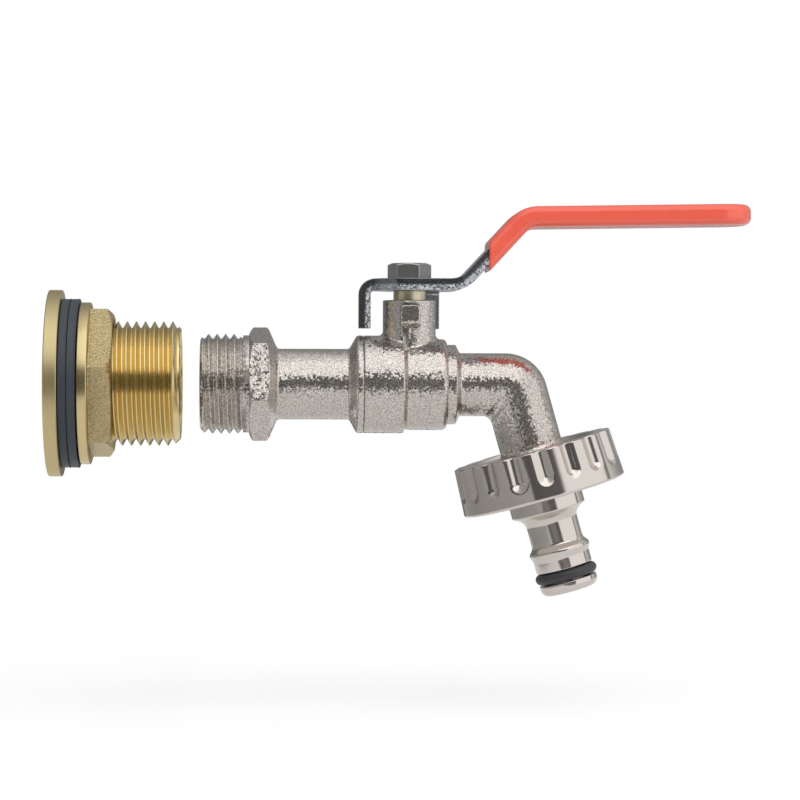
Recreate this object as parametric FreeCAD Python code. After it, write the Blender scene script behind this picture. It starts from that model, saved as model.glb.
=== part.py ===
"""Water butt tap with its tank connector: a brass wall fitting that clamps the butt between two
rubber seals, and a nickel-plated lever ball tap with a hose union and a push-fit hose tail.

Millimetres. The origin is on the pipe axis, at the plane between the two seals where the wall of
the butt is clamped. X runs along the pipe towards the outlet, Z is up, and the front is -Y.
"""

import FreeCAD, Part
import math
import os

V = FreeCAD.Vector

# Fits between pieces
RUNNING = 0.05          # radial clearance of a part that turns, slides or screws in another
FACE_GAP = 0.10         # end clearance between two faces that move past each other
CLOSE = 0.02            # clearance inside a fixed joint

# Tank connector and its seals
FLANGE_R = 24.75        # round flange inside the butt
FLANGE_T = 3.6
EDGE_BREAK = 0.4        # small chamfer on turned edges
SEAL_R = 22.5
SEAL_T = 2.3            # each seal
SEAL_CLEAR = 0.3        # between a seal's hole and the shank
SHANK_R = 16.5          # one inch pipe thread, measured over the crests
SHANK_L = 31.3          # from the flange to the end of the shank
SHANK_PITCH = 2.42      # thread ridges, drawn as plain rings
SHANK_THREAD_T = 1.7    # from the crests to the roots
SHANK_CREST_X = 1.55    # from the last crest to the end of the shank
SHANK_RIDGES = 12
CREST_W = 0.3           # flat on each crest
BORE_CHAMFER = 0.6

# Back nut
COLLAR_R = 21.5         # washer face of the nut
COLLAR_T = 2.9
BACK_NUT_FLATS = 36.0
BACK_NUT_HEX_T = 6.0
BACK_NUT_TURN = 12.0    # degrees from the front to the first corner, upwards

# Inlet end of the tap, screwed into the valve body
TAP_GAP = 5.2           # from the shank to the tap's thread, as laid out apart
TAP_THREAD_R = 13.22    # three quarter inch pipe thread, over the crests
TAP_THREAD_L = 11.3
TAP_PITCH = 2.26
TAP_THREAD_T = 1.2
TAP_CREST_X = 1.05      # from the end of the tap to its first crest
TAP_RIDGES = 5
THREAD_RELIEF_L = 1.7   # plain turned length behind the thread
THREAD_RELIEF_T = 0.3   # how far that length is lower than the crests
INLET_HEX_FLATS = 27.0
INLET_HEX_T = 4.5
INLET_HEX_TURN = 43.7
HEX_CHAMFER = 1.2
INLET_CONE_L = 2.9
NECK_R = 9.4
NECK_L = 19.1
NECK_WALL = 2.4
SHOULDER_L = 2.0
INLET_FLANGE_T = 1.8
MOUTH_WALL = 3.4        # wall under the inlet thread
MOUTH_L = 12.0

# Ball, seats and valve body
BALL_R = 8.5
WATERWAY_R = 5.5        # bore of the ball
BALL_CLEAR = 1.1        # between the ball and the chamber wall
SEAT_BACK = 0.4         # from the ball to the back of a seat
SEAT_FRONT = 0.55       # front face of a seat, as a share of the ball's radius
JOINT_SEAL_T = 0.6
JOINT_LEDGE = 1.4       # step between the chamber and the thread for the inlet end
BODY_WALL = 2.0         # wall over that thread
BODY_LEFT = 12.2        # stem axis to the joint with the inlet end
BODY_STEP_X = 1.1       # stem axis to the groove round the body
BODY_STEP = 0.9         # how far the second band is lower
BAND_ROUND = 0.7        # rounding of the bands at the groove
BODY_RIGHT = 10.0       # stem axis to the right end of the second band
RING_DROP = 1.5         # from the second band to the ring behind it
RING_L = 2.35
RING_CONE_L = 1.1

# Bent spout
SPOUT_R = 8.4
SPOUT_WALL = 2.2
SPOUT_X = 28.0          # stem axis to the corner of the bend
SPOUT_TILT = 15.8       # outlet axis from the vertical, in degrees
BEND_R = 3.0            # radius of the bend's centre line
SPOUT_L = 18.6          # from the corner to the threaded outlet collar
OUTLET_THREAD_R = 16.6  # one inch pipe thread on the outlet, over the crests
OUTLET_THREAD_L = 5.0
OUTLET_FLARE = 1.6

# Stem boss and its two lugs
BOSS_R = 7.05
BOSS_RISE = 9.4         # above the body
BOSS_FILLET = 1.2
LUG_W = 5.1             # front lug, a bare pad
LUG_H = 6.3
LUG_DEPTH = 1.6
LUG_DROP = 1.2          # below the top of the boss
LUG_CORNER = 1.0
STOP_W = 1.6            # rear lug that stops the lever
STOP_REACH = 11.2       # stem axis to its outer face
STOP_SIDE = 2.65        # stem axis to its left face

# Stem and its rings
STEM_R = 4.25
STEM_SHOULDER_R = 5.6
STEM_SHOULDER_T = 1.8
THRUST_WASHER_T = 0.9
STEM_NECK = 2.5         # stem showing between the boss and the lever
STEM_SQUARE = 6.2       # across the flats that carry the lever
TONGUE_T = 3.4
TONGUE_W = 8.0
TONGUE_REACH = 1.85     # depth of the tongue in the ball
TONGUE_CLEAR = 0.1
STEM_RING_CORD = 1.16
STEM_RING_TOP = 3.6     # top of the boss to the upper ring
STEM_RING_PITCH = 3.4

# Lever, a bent plate with a dipped grip
LEVER_T = 3.2
EYE_R = 10.5
ARM_W = 21.0            # plate beside the eye
GRIP_PLATE_W = 17.6     # plate inside the grip
ARM_TAPER_L = 14.0      # from the lower bend to where the plate is as narrow as in the grip
ARM_BLEND_R = 12.0      # rounding of the plate's outline at both ends of the taper
ARM_BEND_X = 13.2       # stem axis to the lower bend, on the top face
ARM_SLOPE = 47.2        # degrees
ARM_RISE = 18.0         # between the two levels of the top face
GRIP_SLOPE = 1.0        # degrees
LEVER_REACH = 90.0      # stem axis to the tip of the plate
LOWER_BEND_R = 7.5      # bends, at mid thickness
UPPER_BEND_R = 7.5
TAB_BEND_R = 2.6
TAB_W = 5.0             # closed-stop tab at the back end of the plate
TAB_X = 11.95           # stem axis to its middle
TAB_CLEAR = 1.9         # between a tab's end and the body
OPEN_TAB_W = 4.1        # open-stop tab at the far side of the plate
OPEN_TAB_Y = 9.5        # stem axis to its middle
STOP_GAP = 0.05         # between a tab and the rear lug at the end of the turn
GRIP_COAT = 1.15
GRIP_START = 20.7       # stem axis to the edge of the coat
GRIP_ROUND = 1.9        # rounding along the grip's edges
TIP_ROUND = 8.6

# Screw on the stem
SCREW_R = 3.0
SCREW_FLATS = 10.2
SCREW_HEAD_T = 4.2
SCREW_TURN = 36.0
SCREW_DEPTH = 7.0       # thread in the stem, below the plate

# Hose union
UNION_TOP_R = 21.4
UNION_BOTTOM_R = 22.15
UNION_L = 13.0
UNION_TOP = 0.8         # from the nut's top edge to the tap's outlet collar
UNION_WALL = 2.9        # bottom wall that carries the tail
UNION_ROUND = 0.8
UNION_MOUTH_R = 17.6
FLUTES = 18
FLUTE_W = 4.4
FLUTE_DEPTH = 1.3
FLUTE_L = 9.7
FLUTE_TURN = 0.5
TAIL_FLANGE_R = 15.4
TAIL_FLANGE_T = 2.0
TAIL_WASHER_R = 15.2
TAIL_WASHER_BORE_R = 8.6
TAIL_WASHER_T = 2.0

# Push-fit hose tail, along its axis from the bottom of the nut
TAIL_COLLAR_R = 10.0
TAIL_COLLAR_L = 4.05
TAIL_WAIST_R = 6.95
TAIL_WAIST_START = 7.6
TAIL_WAIST_END = 13.0
TAIL_RIDGE_R = 8.2
TAIL_RIDGE_START = 14.4
TAIL_RIDGE_L = 0.8
TAIL_LAND_R = 7.6
TAIL_GROOVE_START = 19.8
TAIL_GROOVE_L = 3.4
TAIL_TIP_R = 7.8
TAIL_L = 26.1
TAIL_BORE_R = 4.4
TAIL_RING_CORD = 2.8
TAIL_RING_R = 8.4       # over the outside of the ring

# Stations along the pipe, from the clamped plane
flange_x = -SEAL_T
shank_end = flange_x + SHANK_L
nut_x = SEAL_T + FACE_GAP
tap_x = shank_end + TAP_GAP
relief_x = tap_x + TAP_THREAD_L
inlet_thread_end = relief_x + THREAD_RELIEF_L
inlet_hex_end = inlet_thread_end + INLET_HEX_T
inlet_cone_end = inlet_hex_end + INLET_CONE_L
neck_end = inlet_cone_end + NECK_L
inlet_flange_x = neck_end + SHOULDER_L
body_x = inlet_flange_x + INLET_FLANGE_T
stem_x = body_x + BODY_LEFT
corner_x = stem_x + SPOUT_X

# Radii of the valve body, from the ball outwards
chamber_r = BALL_R + BALL_CLEAR
body_thread_r = chamber_r + JOINT_LEDGE
body_r = body_thread_r + BODY_WALL
band_r = body_r - BODY_STEP
ring_r = band_r - RING_DROP
neck_bore_r = NECK_R - NECK_WALL
spout_bore_r = SPOUT_R - SPOUT_WALL
seat_back = BALL_R + SEAT_BACK

# Heights on the stem axis
boss_top = body_r + BOSS_RISE
stem_shoulder_z = chamber_r + 2 * FACE_GAP
pocket_top = stem_shoulder_z + STEM_SHOULDER_T + THRUST_WASHER_T + FACE_GAP
pocket_r = STEM_SHOULDER_R + 2 * FACE_GAP
slot_z = BALL_R - TONGUE_REACH
plate_z = boss_top + STEM_NECK
plate_top = plate_z + LEVER_T
plate_mid = plate_z + LEVER_T / 2
tab_z = body_r + TAB_CLEAR
open_tab_x = STOP_SIDE + STOP_W + STOP_GAP
stem_ring_upper_z = boss_top - STEM_RING_TOP
stem_ring_lower_z = stem_ring_upper_z - STEM_RING_PITCH

# Stations along the outlet, from the corner of the bend
outlet_end = SPOUT_L + OUTLET_THREAD_L
union_start = SPOUT_L - UNION_TOP
union_end = union_start + UNION_L
union_floor = union_end - UNION_WALL
tail_flange_end = union_floor - FACE_GAP
tail_flange_start = tail_flange_end - TAIL_FLANGE_T
tail_washer_start = tail_flange_start - TAIL_WASHER_T

# Places: each turned piece is drawn along X and then put on its own axis
ON_PIPE = FreeCAD.Placement()
AT_STEM = FreeCAD.Placement(V(stem_x, 0, 0), FreeCAD.Rotation())
UP_STEM = FreeCAD.Placement(V(stem_x, 0, 0), FreeCAD.Rotation(V(0, 1, 0), -90))
DOWN_SPOUT = FreeCAD.Placement(V(corner_x, 0, 0), FreeCAD.Rotation(V(0, 1, 0), 90 - SPOUT_TILT))


def outline(corners):
    """Closed face in the XZ plane from (x, z) or (x, z, rounding) corners."""
    points = [V(corner[0], 0, corner[1]) for corner in corners]
    starts = []
    ends = []
    arcs = []
    for i, corner in enumerate(corners):
        point = points[i]
        radius = corner[2] if len(corner) > 2 else 0
        if not radius:
            starts.append(point)
            ends.append(point)
            arcs.append(None)
            continue
        back = (points[i - 1] - point).normalize()
        ahead = (points[(i + 1) % len(points)] - point).normalize()
        half = back.getAngle(ahead) / 2
        inward = (back + ahead).normalize()
        reach = radius / math.tan(half)
        middle = point + inward * (radius / math.sin(half) - radius)
        starts.append(point + back * reach)
        ends.append(point + ahead * reach)
        arcs.append(Part.Arc(starts[-1], middle, ends[-1]).toShape())
    edges = []
    for i in range(len(points)):
        if arcs[i]:
            edges.append(arcs[i])
        following = starts[(i + 1) % len(points)]
        if ends[i].distanceToPoint(following) > 1e-6:
            edges.append(Part.makeLine(ends[i], following))
    return Part.Face(Part.Wire(edges))


def turned(corners, place=ON_PIPE):
    """Solid of revolution about X from (x, radius) corners, put in its place."""
    return moved(outline(corners).revolve(V(0, 0, 0), V(1, 0, 0), 360), place)


def moved(shape, place):
    """Copy of a shape drawn in the pipe's frame, put in its place."""
    copy = shape.copy()
    copy.Placement = place.multiply(copy.Placement)
    return copy


def rod(radius, start, end, place=ON_PIPE):
    """Plain cylinder along X."""
    return moved(Part.makeCylinder(radius, end - start, V(start, 0, 0), V(1, 0, 0)), place)


def hexagon(flats, start, end, turn, place=ON_PIPE):
    """Hexagonal bar along X. Its first corner is turned upwards from the front by some degrees."""
    corner_r = flats / 2 / math.cos(math.radians(30))
    ring = []
    for i in range(7):
        angle = math.radians(turn + 60 * i)
        ring.append(V(start, -corner_r * math.cos(angle), corner_r * math.sin(angle)))
    return moved(Part.Face(Part.makePolygon(ring)).extrude(V(end - start, 0, 0)), place)


def across_corners(flats):
    """Radius over the corners of a hexagon."""
    return flats / 2 / math.cos(math.radians(30))


def box(low, high):
    """Box from its lowest to its highest corner."""
    size = high - low
    return Part.makeBox(size.x, size.y, size.z, low)


def torus(centre, ring_r, cord, place):
    """Rubber ring of round cord about X."""
    return moved(Part.makeTorus(ring_r, cord / 2, V(centre, 0, 0), V(1, 0, 0)), place)


def ridges(first, count, crest_r, pitch, depth):
    """Corners of a thread's ridges, from the first crest to the root behind the last one."""
    corners = []
    for i in range(count):
        crest_x = first + pitch * i
        corners.append((crest_x - CREST_W / 2, crest_r))
        corners.append((crest_x + CREST_W / 2, crest_r))
        corners.append((crest_x + pitch / 2, crest_r - depth))
    return corners


def tank_connector():
    """Turned brass flange and threaded shank, bored through for the tap's thread."""
    bore_r = TAP_THREAD_R + RUNNING
    lead_r = bore_r + BORE_CHAMFER
    root_r = SHANK_R - SHANK_THREAD_T
    first_crest = shank_end - SHANK_CREST_X - SHANK_PITCH * (SHANK_RIDGES - 1)
    return turned([
        (flange_x - FLANGE_T, lead_r),
        (flange_x - FLANGE_T, FLANGE_R - EDGE_BREAK),
        (flange_x - FLANGE_T + EDGE_BREAK, FLANGE_R),
        (flange_x - EDGE_BREAK, FLANGE_R),
        (flange_x, FLANGE_R - EDGE_BREAK),
        (flange_x, root_r),
        (first_crest - SHANK_PITCH / 2, root_r),
        *ridges(first_crest, SHANK_RIDGES, SHANK_R, SHANK_PITCH, SHANK_THREAD_T),
        (shank_end, root_r),
        (shank_end, lead_r),
        (shank_end - BORE_CHAMFER, bore_r),
        (flange_x - FLANGE_T + BORE_CHAMFER, bore_r),
    ])


def seal(start):
    """Flat rubber ring on the shank."""
    hole_r = SHANK_R + SEAL_CLEAR
    return rod(SEAL_R, start, start + SEAL_T - FACE_GAP).cut(rod(hole_r, start - 1, start + SEAL_T + 1))


def inner_seal():
    """Seal between the flange and the inside of the butt."""
    return seal(-SEAL_T + FACE_GAP / 2)


def outer_seal():
    """Seal between the outside of the butt and the back nut."""
    return seal(FACE_GAP / 2)


def back_nut():
    """Brass nut with a round washer face and a chamfered hexagon."""
    hex_x = nut_x + COLLAR_T
    end = hex_x + BACK_NUT_HEX_T
    bore_r = SHANK_R + RUNNING
    corner_r = across_corners(BACK_NUT_FLATS)
    rounding = corner_r - BACK_NUT_FLATS / 2
    crown = turned([
        (hex_x - COLLAR_T / 2, 0),
        (hex_x - COLLAR_T / 2, corner_r + 1),
        (end - (rounding + 1) * math.tan(math.radians(30)), corner_r + 1),
        (end, BACK_NUT_FLATS / 2),
        (end, 0),
    ])
    nut = hexagon(BACK_NUT_FLATS, hex_x - COLLAR_T / 2, end, BACK_NUT_TURN).common(crown)
    collar = turned([
        (nut_x, 0),
        (nut_x, COLLAR_R - EDGE_BREAK),
        (nut_x + EDGE_BREAK, COLLAR_R),
        (hex_x, COLLAR_R, EDGE_BREAK),
        (hex_x, 0),
    ])
    hole = turned([
        (nut_x - 1, 0),
        (nut_x - 1, bore_r + 1 + EDGE_BREAK),
        (nut_x + EDGE_BREAK, bore_r),
        (end - EDGE_BREAK, bore_r),
        (end + 1, bore_r + 1 + EDGE_BREAK),
        (end + 1, 0),
    ])
    return nut.fuse(collar).cut(hole).removeSplitter()


def inlet_end():
    """Threaded inlet with its hexagon, neck and flange, screwed into the body up to the seat."""
    hex_r = across_corners(INLET_HEX_FLATS)
    mouth_r = TAP_THREAD_R - MOUTH_WALL
    nose_x = stem_x - seat_back
    body = turned([
        (tap_x, 0),
        (tap_x, TAP_THREAD_R - TAP_THREAD_T),
        *ridges(tap_x + TAP_CREST_X, TAP_RIDGES, TAP_THREAD_R, TAP_PITCH, TAP_THREAD_T),
        (relief_x, TAP_THREAD_R - TAP_THREAD_T),
        (relief_x, TAP_THREAD_R - THREAD_RELIEF_T),
        (inlet_thread_end, TAP_THREAD_R - THREAD_RELIEF_T),
        (inlet_thread_end, INLET_HEX_FLATS / 2),
        (inlet_thread_end + HEX_CHAMFER, hex_r + EDGE_BREAK),
        (inlet_hex_end, hex_r + EDGE_BREAK),
        (inlet_cone_end, NECK_R, 1.0),
        (neck_end, NECK_R, SHOULDER_L / 2),
        (inlet_flange_x, body_r, SHOULDER_L / 2),
        (body_x, body_r),
        (body_x, body_thread_r - CLOSE),
        (nose_x, body_thread_r - CLOSE),
        (nose_x, 0),
    ])
    hex_bar = hexagon(INLET_HEX_FLATS, inlet_thread_end, inlet_cone_end, INLET_HEX_TURN)
    behind = rod(body_r + 1, inlet_cone_end, body_x + BODY_LEFT)
    ahead = rod(TAP_THREAD_R + 1, tap_x - 1, inlet_thread_end)
    waterway = turned([
        (tap_x - 1, 0),
        (tap_x - 1, mouth_r),
        (tap_x + MOUTH_L, mouth_r),
        (tap_x + MOUTH_L + mouth_r - neck_bore_r, neck_bore_r),
        (nose_x + 1, neck_bore_r),
        (nose_x + 1, 0),
    ])
    return body.common(hex_bar.fuse([ahead, behind])).cut(waterway).removeSplitter()


def inlet_joint_seal():
    """Thin ring at the bottom of the body's thread, pressed by the inlet end."""
    start = stem_x - seat_back
    ring = rod(body_thread_r - CLOSE, start, start + JOINT_SEAL_T)
    return ring.cut(rod(chamber_r + CLOSE, start - 1, start + 1 + JOINT_SEAL_T))


def seat():
    """Ring that seals on the ball, drawn on the outlet side of a ball at the origin."""
    front = SEAT_FRONT * BALL_R
    ring = rod(chamber_r - CLOSE, front, seat_back).cut(rod(WATERWAY_R, front - 1, seat_back + 1))
    return ring.cut(Part.makeSphere(BALL_R + RUNNING))


def inlet_seat():
    """Seat between the inlet end and the ball."""
    return moved(seat(), FreeCAD.Placement(V(stem_x, 0, 0), FreeCAD.Rotation(V(0, 0, 1), 180)))


def outlet_seat():
    """Seat between the ball and the spout."""
    return moved(seat(), AT_STEM)


def ball():
    """Bored ball with a slot across its top for the stem's tongue."""
    slot_half = TONGUE_T / 2 + TONGUE_CLEAR
    slot = box(V(-slot_half, -BALL_R, slot_z - TONGUE_CLEAR), V(slot_half, BALL_R, BALL_R + 1))
    bored = Part.makeSphere(BALL_R).cut(rod(WATERWAY_R, -BALL_R - 1, BALL_R + 1))
    return moved(bored.cut(slot), AT_STEM)


def elbow(radius):
    """Bend of the spout about its inner side, with its two straight legs."""
    turn = 90 - SPOUT_TILT
    leg = BEND_R * math.tan(math.radians(turn / 2))
    start = corner_x - leg
    disc = Part.Face(Part.Wire(Part.makeCircle(radius, V(start, 0, 0), V(1, 0, 0))))
    cutter = box(V(start - 1, -2 * radius, -3 * radius), V(start + 1, 2 * radius, -BEND_R))
    bend = disc.cut(cutter).revolve(V(start, 0, -BEND_R), V(0, 1, 0), turn)
    across = rod(radius, stem_x + BODY_RIGHT, start)
    down = rod(radius, leg, SPOUT_L + OUTLET_FLARE / 2, DOWN_SPOUT)
    return across.fuse([bend, down])


def body_shell():
    """Outside of the casting: two bands, a ring, the bent spout and the threaded collar."""
    ring_start = BODY_RIGHT
    ring_end = ring_start + RING_L
    bands = turned([
        (-BODY_LEFT, 0),
        (-BODY_LEFT, body_r),
        (-BODY_STEP_X - EDGE_BREAK, body_r, BAND_ROUND),
        (-BODY_STEP_X, band_r - EDGE_BREAK),
        (-BODY_STEP_X + EDGE_BREAK, band_r, BAND_ROUND / 2),
        (ring_start, band_r, 1.3),
        (ring_start, ring_r, 0.1),
        (ring_end, ring_r, 0.4),
        (ring_end + RING_CONE_L, SPOUT_R, 0.6),
        (ring_end + 2 * RING_CONE_L, SPOUT_R),
        (ring_end + 2 * RING_CONE_L, 0),
    ], AT_STEM)
    collar = turned([
        (SPOUT_L - 2 * OUTLET_FLARE, 0),
        (SPOUT_L - 2 * OUTLET_FLARE, SPOUT_R),
        (SPOUT_L, SPOUT_R, OUTLET_FLARE),
        (SPOUT_L, OUTLET_THREAD_R - OUTLET_FLARE / 2),
        (SPOUT_L + OUTLET_FLARE / 2, OUTLET_THREAD_R),
        (outlet_end - OUTLET_FLARE / 2, OUTLET_THREAD_R),
        (outlet_end, OUTLET_THREAD_R - OUTLET_FLARE / 2),
        (outlet_end, 0),
    ], DOWN_SPOUT)
    return bands.fuse([elbow(SPOUT_R), collar])


def post():
    """Round post of the boss, from the pipe axis up."""
    return turned([(0, 0), (0, BOSS_R), (boss_top, BOSS_R, 0.3), (boss_top, 0)], UP_STEM)


def boss_foot(radius, low, high):
    """Post with its foot blended into one band of the body, kept between two stations."""
    reach = BOSS_R + 2 * BOSS_FILLET
    drum = rod(radius, -2 * reach, 2 * reach, AT_STEM)
    whole = drum.fuse(post())
    rim = [edge for edge in whole.Edges if not isinstance(edge.Curve, (Part.Circle, Part.Line))]
    upper = [edge for edge in rim if edge.CenterOfMass.z > 0]
    slab = box(V(stem_x + low, -reach, 0), V(stem_x + high, reach, boss_top))
    return whole.makeFillet(BOSS_FILLET, upper).common(slab)


def boss():
    """Boss for the stem, blended into both bands, with the front pad and the rear stop."""
    reach = BOSS_R + BOSS_FILLET
    groove = EDGE_BREAK + BAND_ROUND
    left_foot = boss_foot(body_r, -reach, -BODY_STEP_X - groove)
    right_foot = boss_foot(band_r, -BODY_STEP_X + groove, reach)
    lug_top = boss_top - LUG_DROP
    lug_low = lug_top - LUG_H
    face_y = -(BOSS_R + LUG_DEPTH)
    pad = outline([
        (-LUG_W / 2, lug_low, LUG_CORNER),
        (-LUG_W / 2, lug_top, LUG_CORNER),
        (LUG_W / 2, lug_top, LUG_CORNER),
        (LUG_W / 2, lug_low, LUG_CORNER),
    ])
    pad.translate(V(stem_x, face_y, 0))
    pad = pad.extrude(V(0, -face_y, 0))
    ledge = Part.makePolygon([
        V(stem_x - LUG_W, face_y, lug_low),
        V(stem_x - LUG_W, face_y, lug_low + LUG_DEPTH),
        V(stem_x - LUG_W, face_y + LUG_DEPTH, lug_low),
        V(stem_x - LUG_W, face_y, lug_low),
    ])
    pad = pad.cut(Part.Face(ledge).extrude(V(2 * LUG_W, 0, 0)))
    stop = box(V(stem_x + STOP_SIDE, 0, lug_low), V(stem_x + STOP_SIDE + STOP_W, STOP_REACH, lug_top))
    return post().fuse([left_foot, right_foot, pad, stop])


def body_inside():
    """Chamber, thread, stem hole and waterway of the casting."""
    joint_x = -seat_back + JOINT_SEAL_T
    chamber = turned([
        (-BODY_LEFT - 1, 0),
        (-BODY_LEFT - 1, body_thread_r),
        (joint_x, body_thread_r),
        (joint_x, chamber_r),
        (seat_back, chamber_r),
        (seat_back, 0),
    ], AT_STEM)
    pocket = rod(pocket_r, 0, pocket_top, UP_STEM)
    stem_hole = rod(STEM_R + RUNNING, 0, boss_top + 1, UP_STEM)
    across = rod(spout_bore_r, stem_x, corner_x)
    corner = Part.makeSphere(spout_bore_r, V(corner_x, 0, 0))
    down = rod(spout_bore_r, 0, outlet_end + 1, DOWN_SPOUT)
    return chamber.fuse([pocket, stem_hole, across, corner, down])


def valve_body():
    """One casting: ball chamber, stem boss and bent spout."""
    return body_shell().fuse(boss()).cut(body_inside()).removeSplitter()


def stem():
    """Brass stem put in from below: tongue, shoulder, two ring grooves, square and screw hole."""
    groove_r = STEM_R + RUNNING / 2 - STEM_RING_CORD
    groove_half = STEM_RING_CORD / 2 + FACE_GAP
    square_end = plate_top - 3 * FACE_GAP
    shaft = turned([
        (stem_shoulder_z, 0),
        (stem_shoulder_z, STEM_SHOULDER_R),
        (stem_shoulder_z + STEM_SHOULDER_T, STEM_SHOULDER_R),
        (stem_shoulder_z + STEM_SHOULDER_T, STEM_R),
        (stem_ring_lower_z - groove_half, STEM_R),
        (stem_ring_lower_z - groove_half, groove_r),
        (stem_ring_lower_z + groove_half, groove_r),
        (stem_ring_lower_z + groove_half, STEM_R),
        (stem_ring_upper_z - groove_half, STEM_R),
        (stem_ring_upper_z - groove_half, groove_r),
        (stem_ring_upper_z + groove_half, groove_r),
        (stem_ring_upper_z + groove_half, STEM_R),
        (square_end, STEM_R),
        (square_end, 0),
    ], UP_STEM)
    half = STEM_SQUARE / 2
    square = box(V(stem_x - half, -half, plate_z), V(stem_x + half, half, square_end))
    below = rod(STEM_SHOULDER_R + 1, 0, plate_z, UP_STEM)
    tongue = box(
        V(stem_x - TONGUE_T / 2, -TONGUE_W / 2, slot_z),
        V(stem_x + TONGUE_T / 2, TONGUE_W / 2, stem_shoulder_z + STEM_SHOULDER_T / 2),
    )
    hole = rod(SCREW_R + CLOSE, plate_z - SCREW_DEPTH - 1, plate_top, UP_STEM)
    return shaft.common(square.fuse(below)).fuse(tongue).cut(hole).removeSplitter()


def stem_thrust_washer():
    """Plain washer between the stem's shoulder and the body."""
    start = stem_shoulder_z + STEM_SHOULDER_T
    ring = rod(STEM_SHOULDER_R, start, start + THRUST_WASHER_T, UP_STEM)
    return ring.cut(rod(STEM_R + CLOSE, start - 1, start + 1 + THRUST_WASHER_T, UP_STEM))


def stem_ring(height):
    """Rubber ring in a groove of the stem."""
    return torus(height, STEM_R + RUNNING / 2 - STEM_RING_CORD / 2, STEM_RING_CORD, UP_STEM)


def strip_corners(thickness, grow):
    """Side outline of the bent plate, thickened by some coat and lengthened by it at the tip."""
    tilt = math.radians(ARM_SLOPE)
    lift = math.radians(GRIP_SLOPE)
    top = plate_mid + thickness / 2
    low = plate_mid - thickness / 2
    mid_top = plate_mid + LEVER_T / 2
    arm_run = ARM_RISE / math.tan(tilt)

    def bend(offset):
        first_x = ARM_BEND_X + (LEVER_T / 2 - offset) * math.tan(tilt / 2)
        shift = math.tan((tilt - lift) / 2)
        along_x = math.sin(lift) + shift * math.cos(lift)
        along_z = math.cos(lift) - shift * math.sin(lift)
        second_x = ARM_BEND_X + arm_run + (LEVER_T / 2 - offset) * along_x
        second_z = mid_top + ARM_RISE - (LEVER_T / 2 - offset) * along_z
        tip_x = LEVER_REACH + grow
        tip_z = second_z + (tip_x - second_x) * math.tan(lift)
        return first_x, second_x, second_z, tip_x, tip_z

    half = thickness / 2
    upper = bend(half)
    lower = bend(-half)
    return [
        (-TAB_X - half, tab_z),
        (-TAB_X - half, top, TAB_BEND_R + half),
        (upper[0], top, LOWER_BEND_R - half),
        (upper[1], upper[2], UPPER_BEND_R + half),
        (upper[3], upper[4]),
        (lower[3], lower[4]),
        (lower[1], lower[2], UPPER_BEND_R - half),
        (lower[0], low, LOWER_BEND_R + half),
        (-TAB_X + half, low, TAB_BEND_R - half),
        (-TAB_X + half, tab_z),
    ]


def strip(thickness, grow=0):
    """Bent plate, as wide as the eye, before its outline is cut."""
    face = outline(strip_corners(thickness, grow))
    face.translate(V(stem_x, -EYE_R - 5, 0))
    return face.extrude(V(0, 2 * (EYE_R + 5), 0))


def plan(corners, low, high):
    """Upright block with an outline seen from above, from (x, y) or (x, y, rounding) corners."""
    face = outline(corners)
    face.rotate(V(0, 0, 0), V(1, 0, 0), -90)
    face.translate(V(stem_x, 0, low))
    return face.extrude(V(0, 0, high - low))


def arm_plan(grow=0):
    """Outline of the arm from above, wider by a coat."""
    wide = ARM_W / 2 + grow
    narrow = GRIP_PLATE_W / 2 + grow
    tip = LEVER_REACH + grow
    return plan([
        (0, -wide),
        (ARM_BEND_X, -wide, ARM_BLEND_R),
        (ARM_BEND_X + ARM_TAPER_L, -narrow, ARM_BLEND_R),
        (tip, -narrow, TIP_ROUND),
        (tip, narrow, TIP_ROUND),
        (ARM_BEND_X + ARM_TAPER_L, narrow, ARM_BLEND_R),
        (ARM_BEND_X, wide, ARM_BLEND_R),
        (0, wide),
    ], plate_z - ARM_RISE, plate_top + 2 * ARM_RISE)


def lever():
    """Bent steel plate: eye on the stem, two stop tabs and the arm that runs into the grip."""
    eye = rod(EYE_R, plate_z, plate_top + 1, UP_STEM)
    tab_strip = plan([(-TAB_X - LEVER_T, -TAB_W / 2), (0, -TAB_W / 2), (0, TAB_W / 2),
                      (-TAB_X - LEVER_T, TAB_W / 2)], 0, plate_top + 1)
    plate = strip(LEVER_T).common(arm_plan().fuse([eye, tab_strip]))
    half = LEVER_T / 2
    side = outline([
        (0, plate_z),
        (0, plate_top),
        (OPEN_TAB_Y + half, plate_top, TAB_BEND_R + half),
        (OPEN_TAB_Y + half, tab_z),
        (OPEN_TAB_Y - half, tab_z),
        (OPEN_TAB_Y - half, plate_z, TAB_BEND_R - half),
    ])
    side.rotate(V(0, 0, 0), V(0, 0, 1), 90)
    side.translate(V(stem_x + open_tab_x, 0, 0))
    open_tab = side.extrude(V(OPEN_TAB_W, 0, 0))
    square_half = STEM_SQUARE / 2 + CLOSE
    square = box(
        V(stem_x - square_half, -square_half, plate_z - 1),
        V(stem_x + square_half, square_half, plate_top + 1),
    )
    return plate.fuse(open_tab).cut(square).removeSplitter()


def lever_grip():
    """Dipped coat round the arm, rounded along its edges."""
    coat = strip(LEVER_T + 2 * GRIP_COAT, GRIP_COAT).common(arm_plan(GRIP_COAT))
    half = ARM_W
    keep = box(
        V(stem_x + GRIP_START, -half, plate_z),
        V(stem_x + LEVER_REACH + 2 * GRIP_COAT, half, plate_top + 2 * ARM_RISE),
    )
    coat = coat.common(keep).removeSplitter()
    rim = []
    for edge in coat.Edges:
        span = edge.BoundBox
        upright = span.XLength < 0.05 and span.YLength < 0.05
        across = span.XLength < 0.05 and span.XMax < stem_x + LEVER_REACH
        if not upright and not across:
            rim.append(edge)
    return coat.makeFillet(GRIP_ROUND, rim).cut(strip(LEVER_T).common(arm_plan()))


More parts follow.
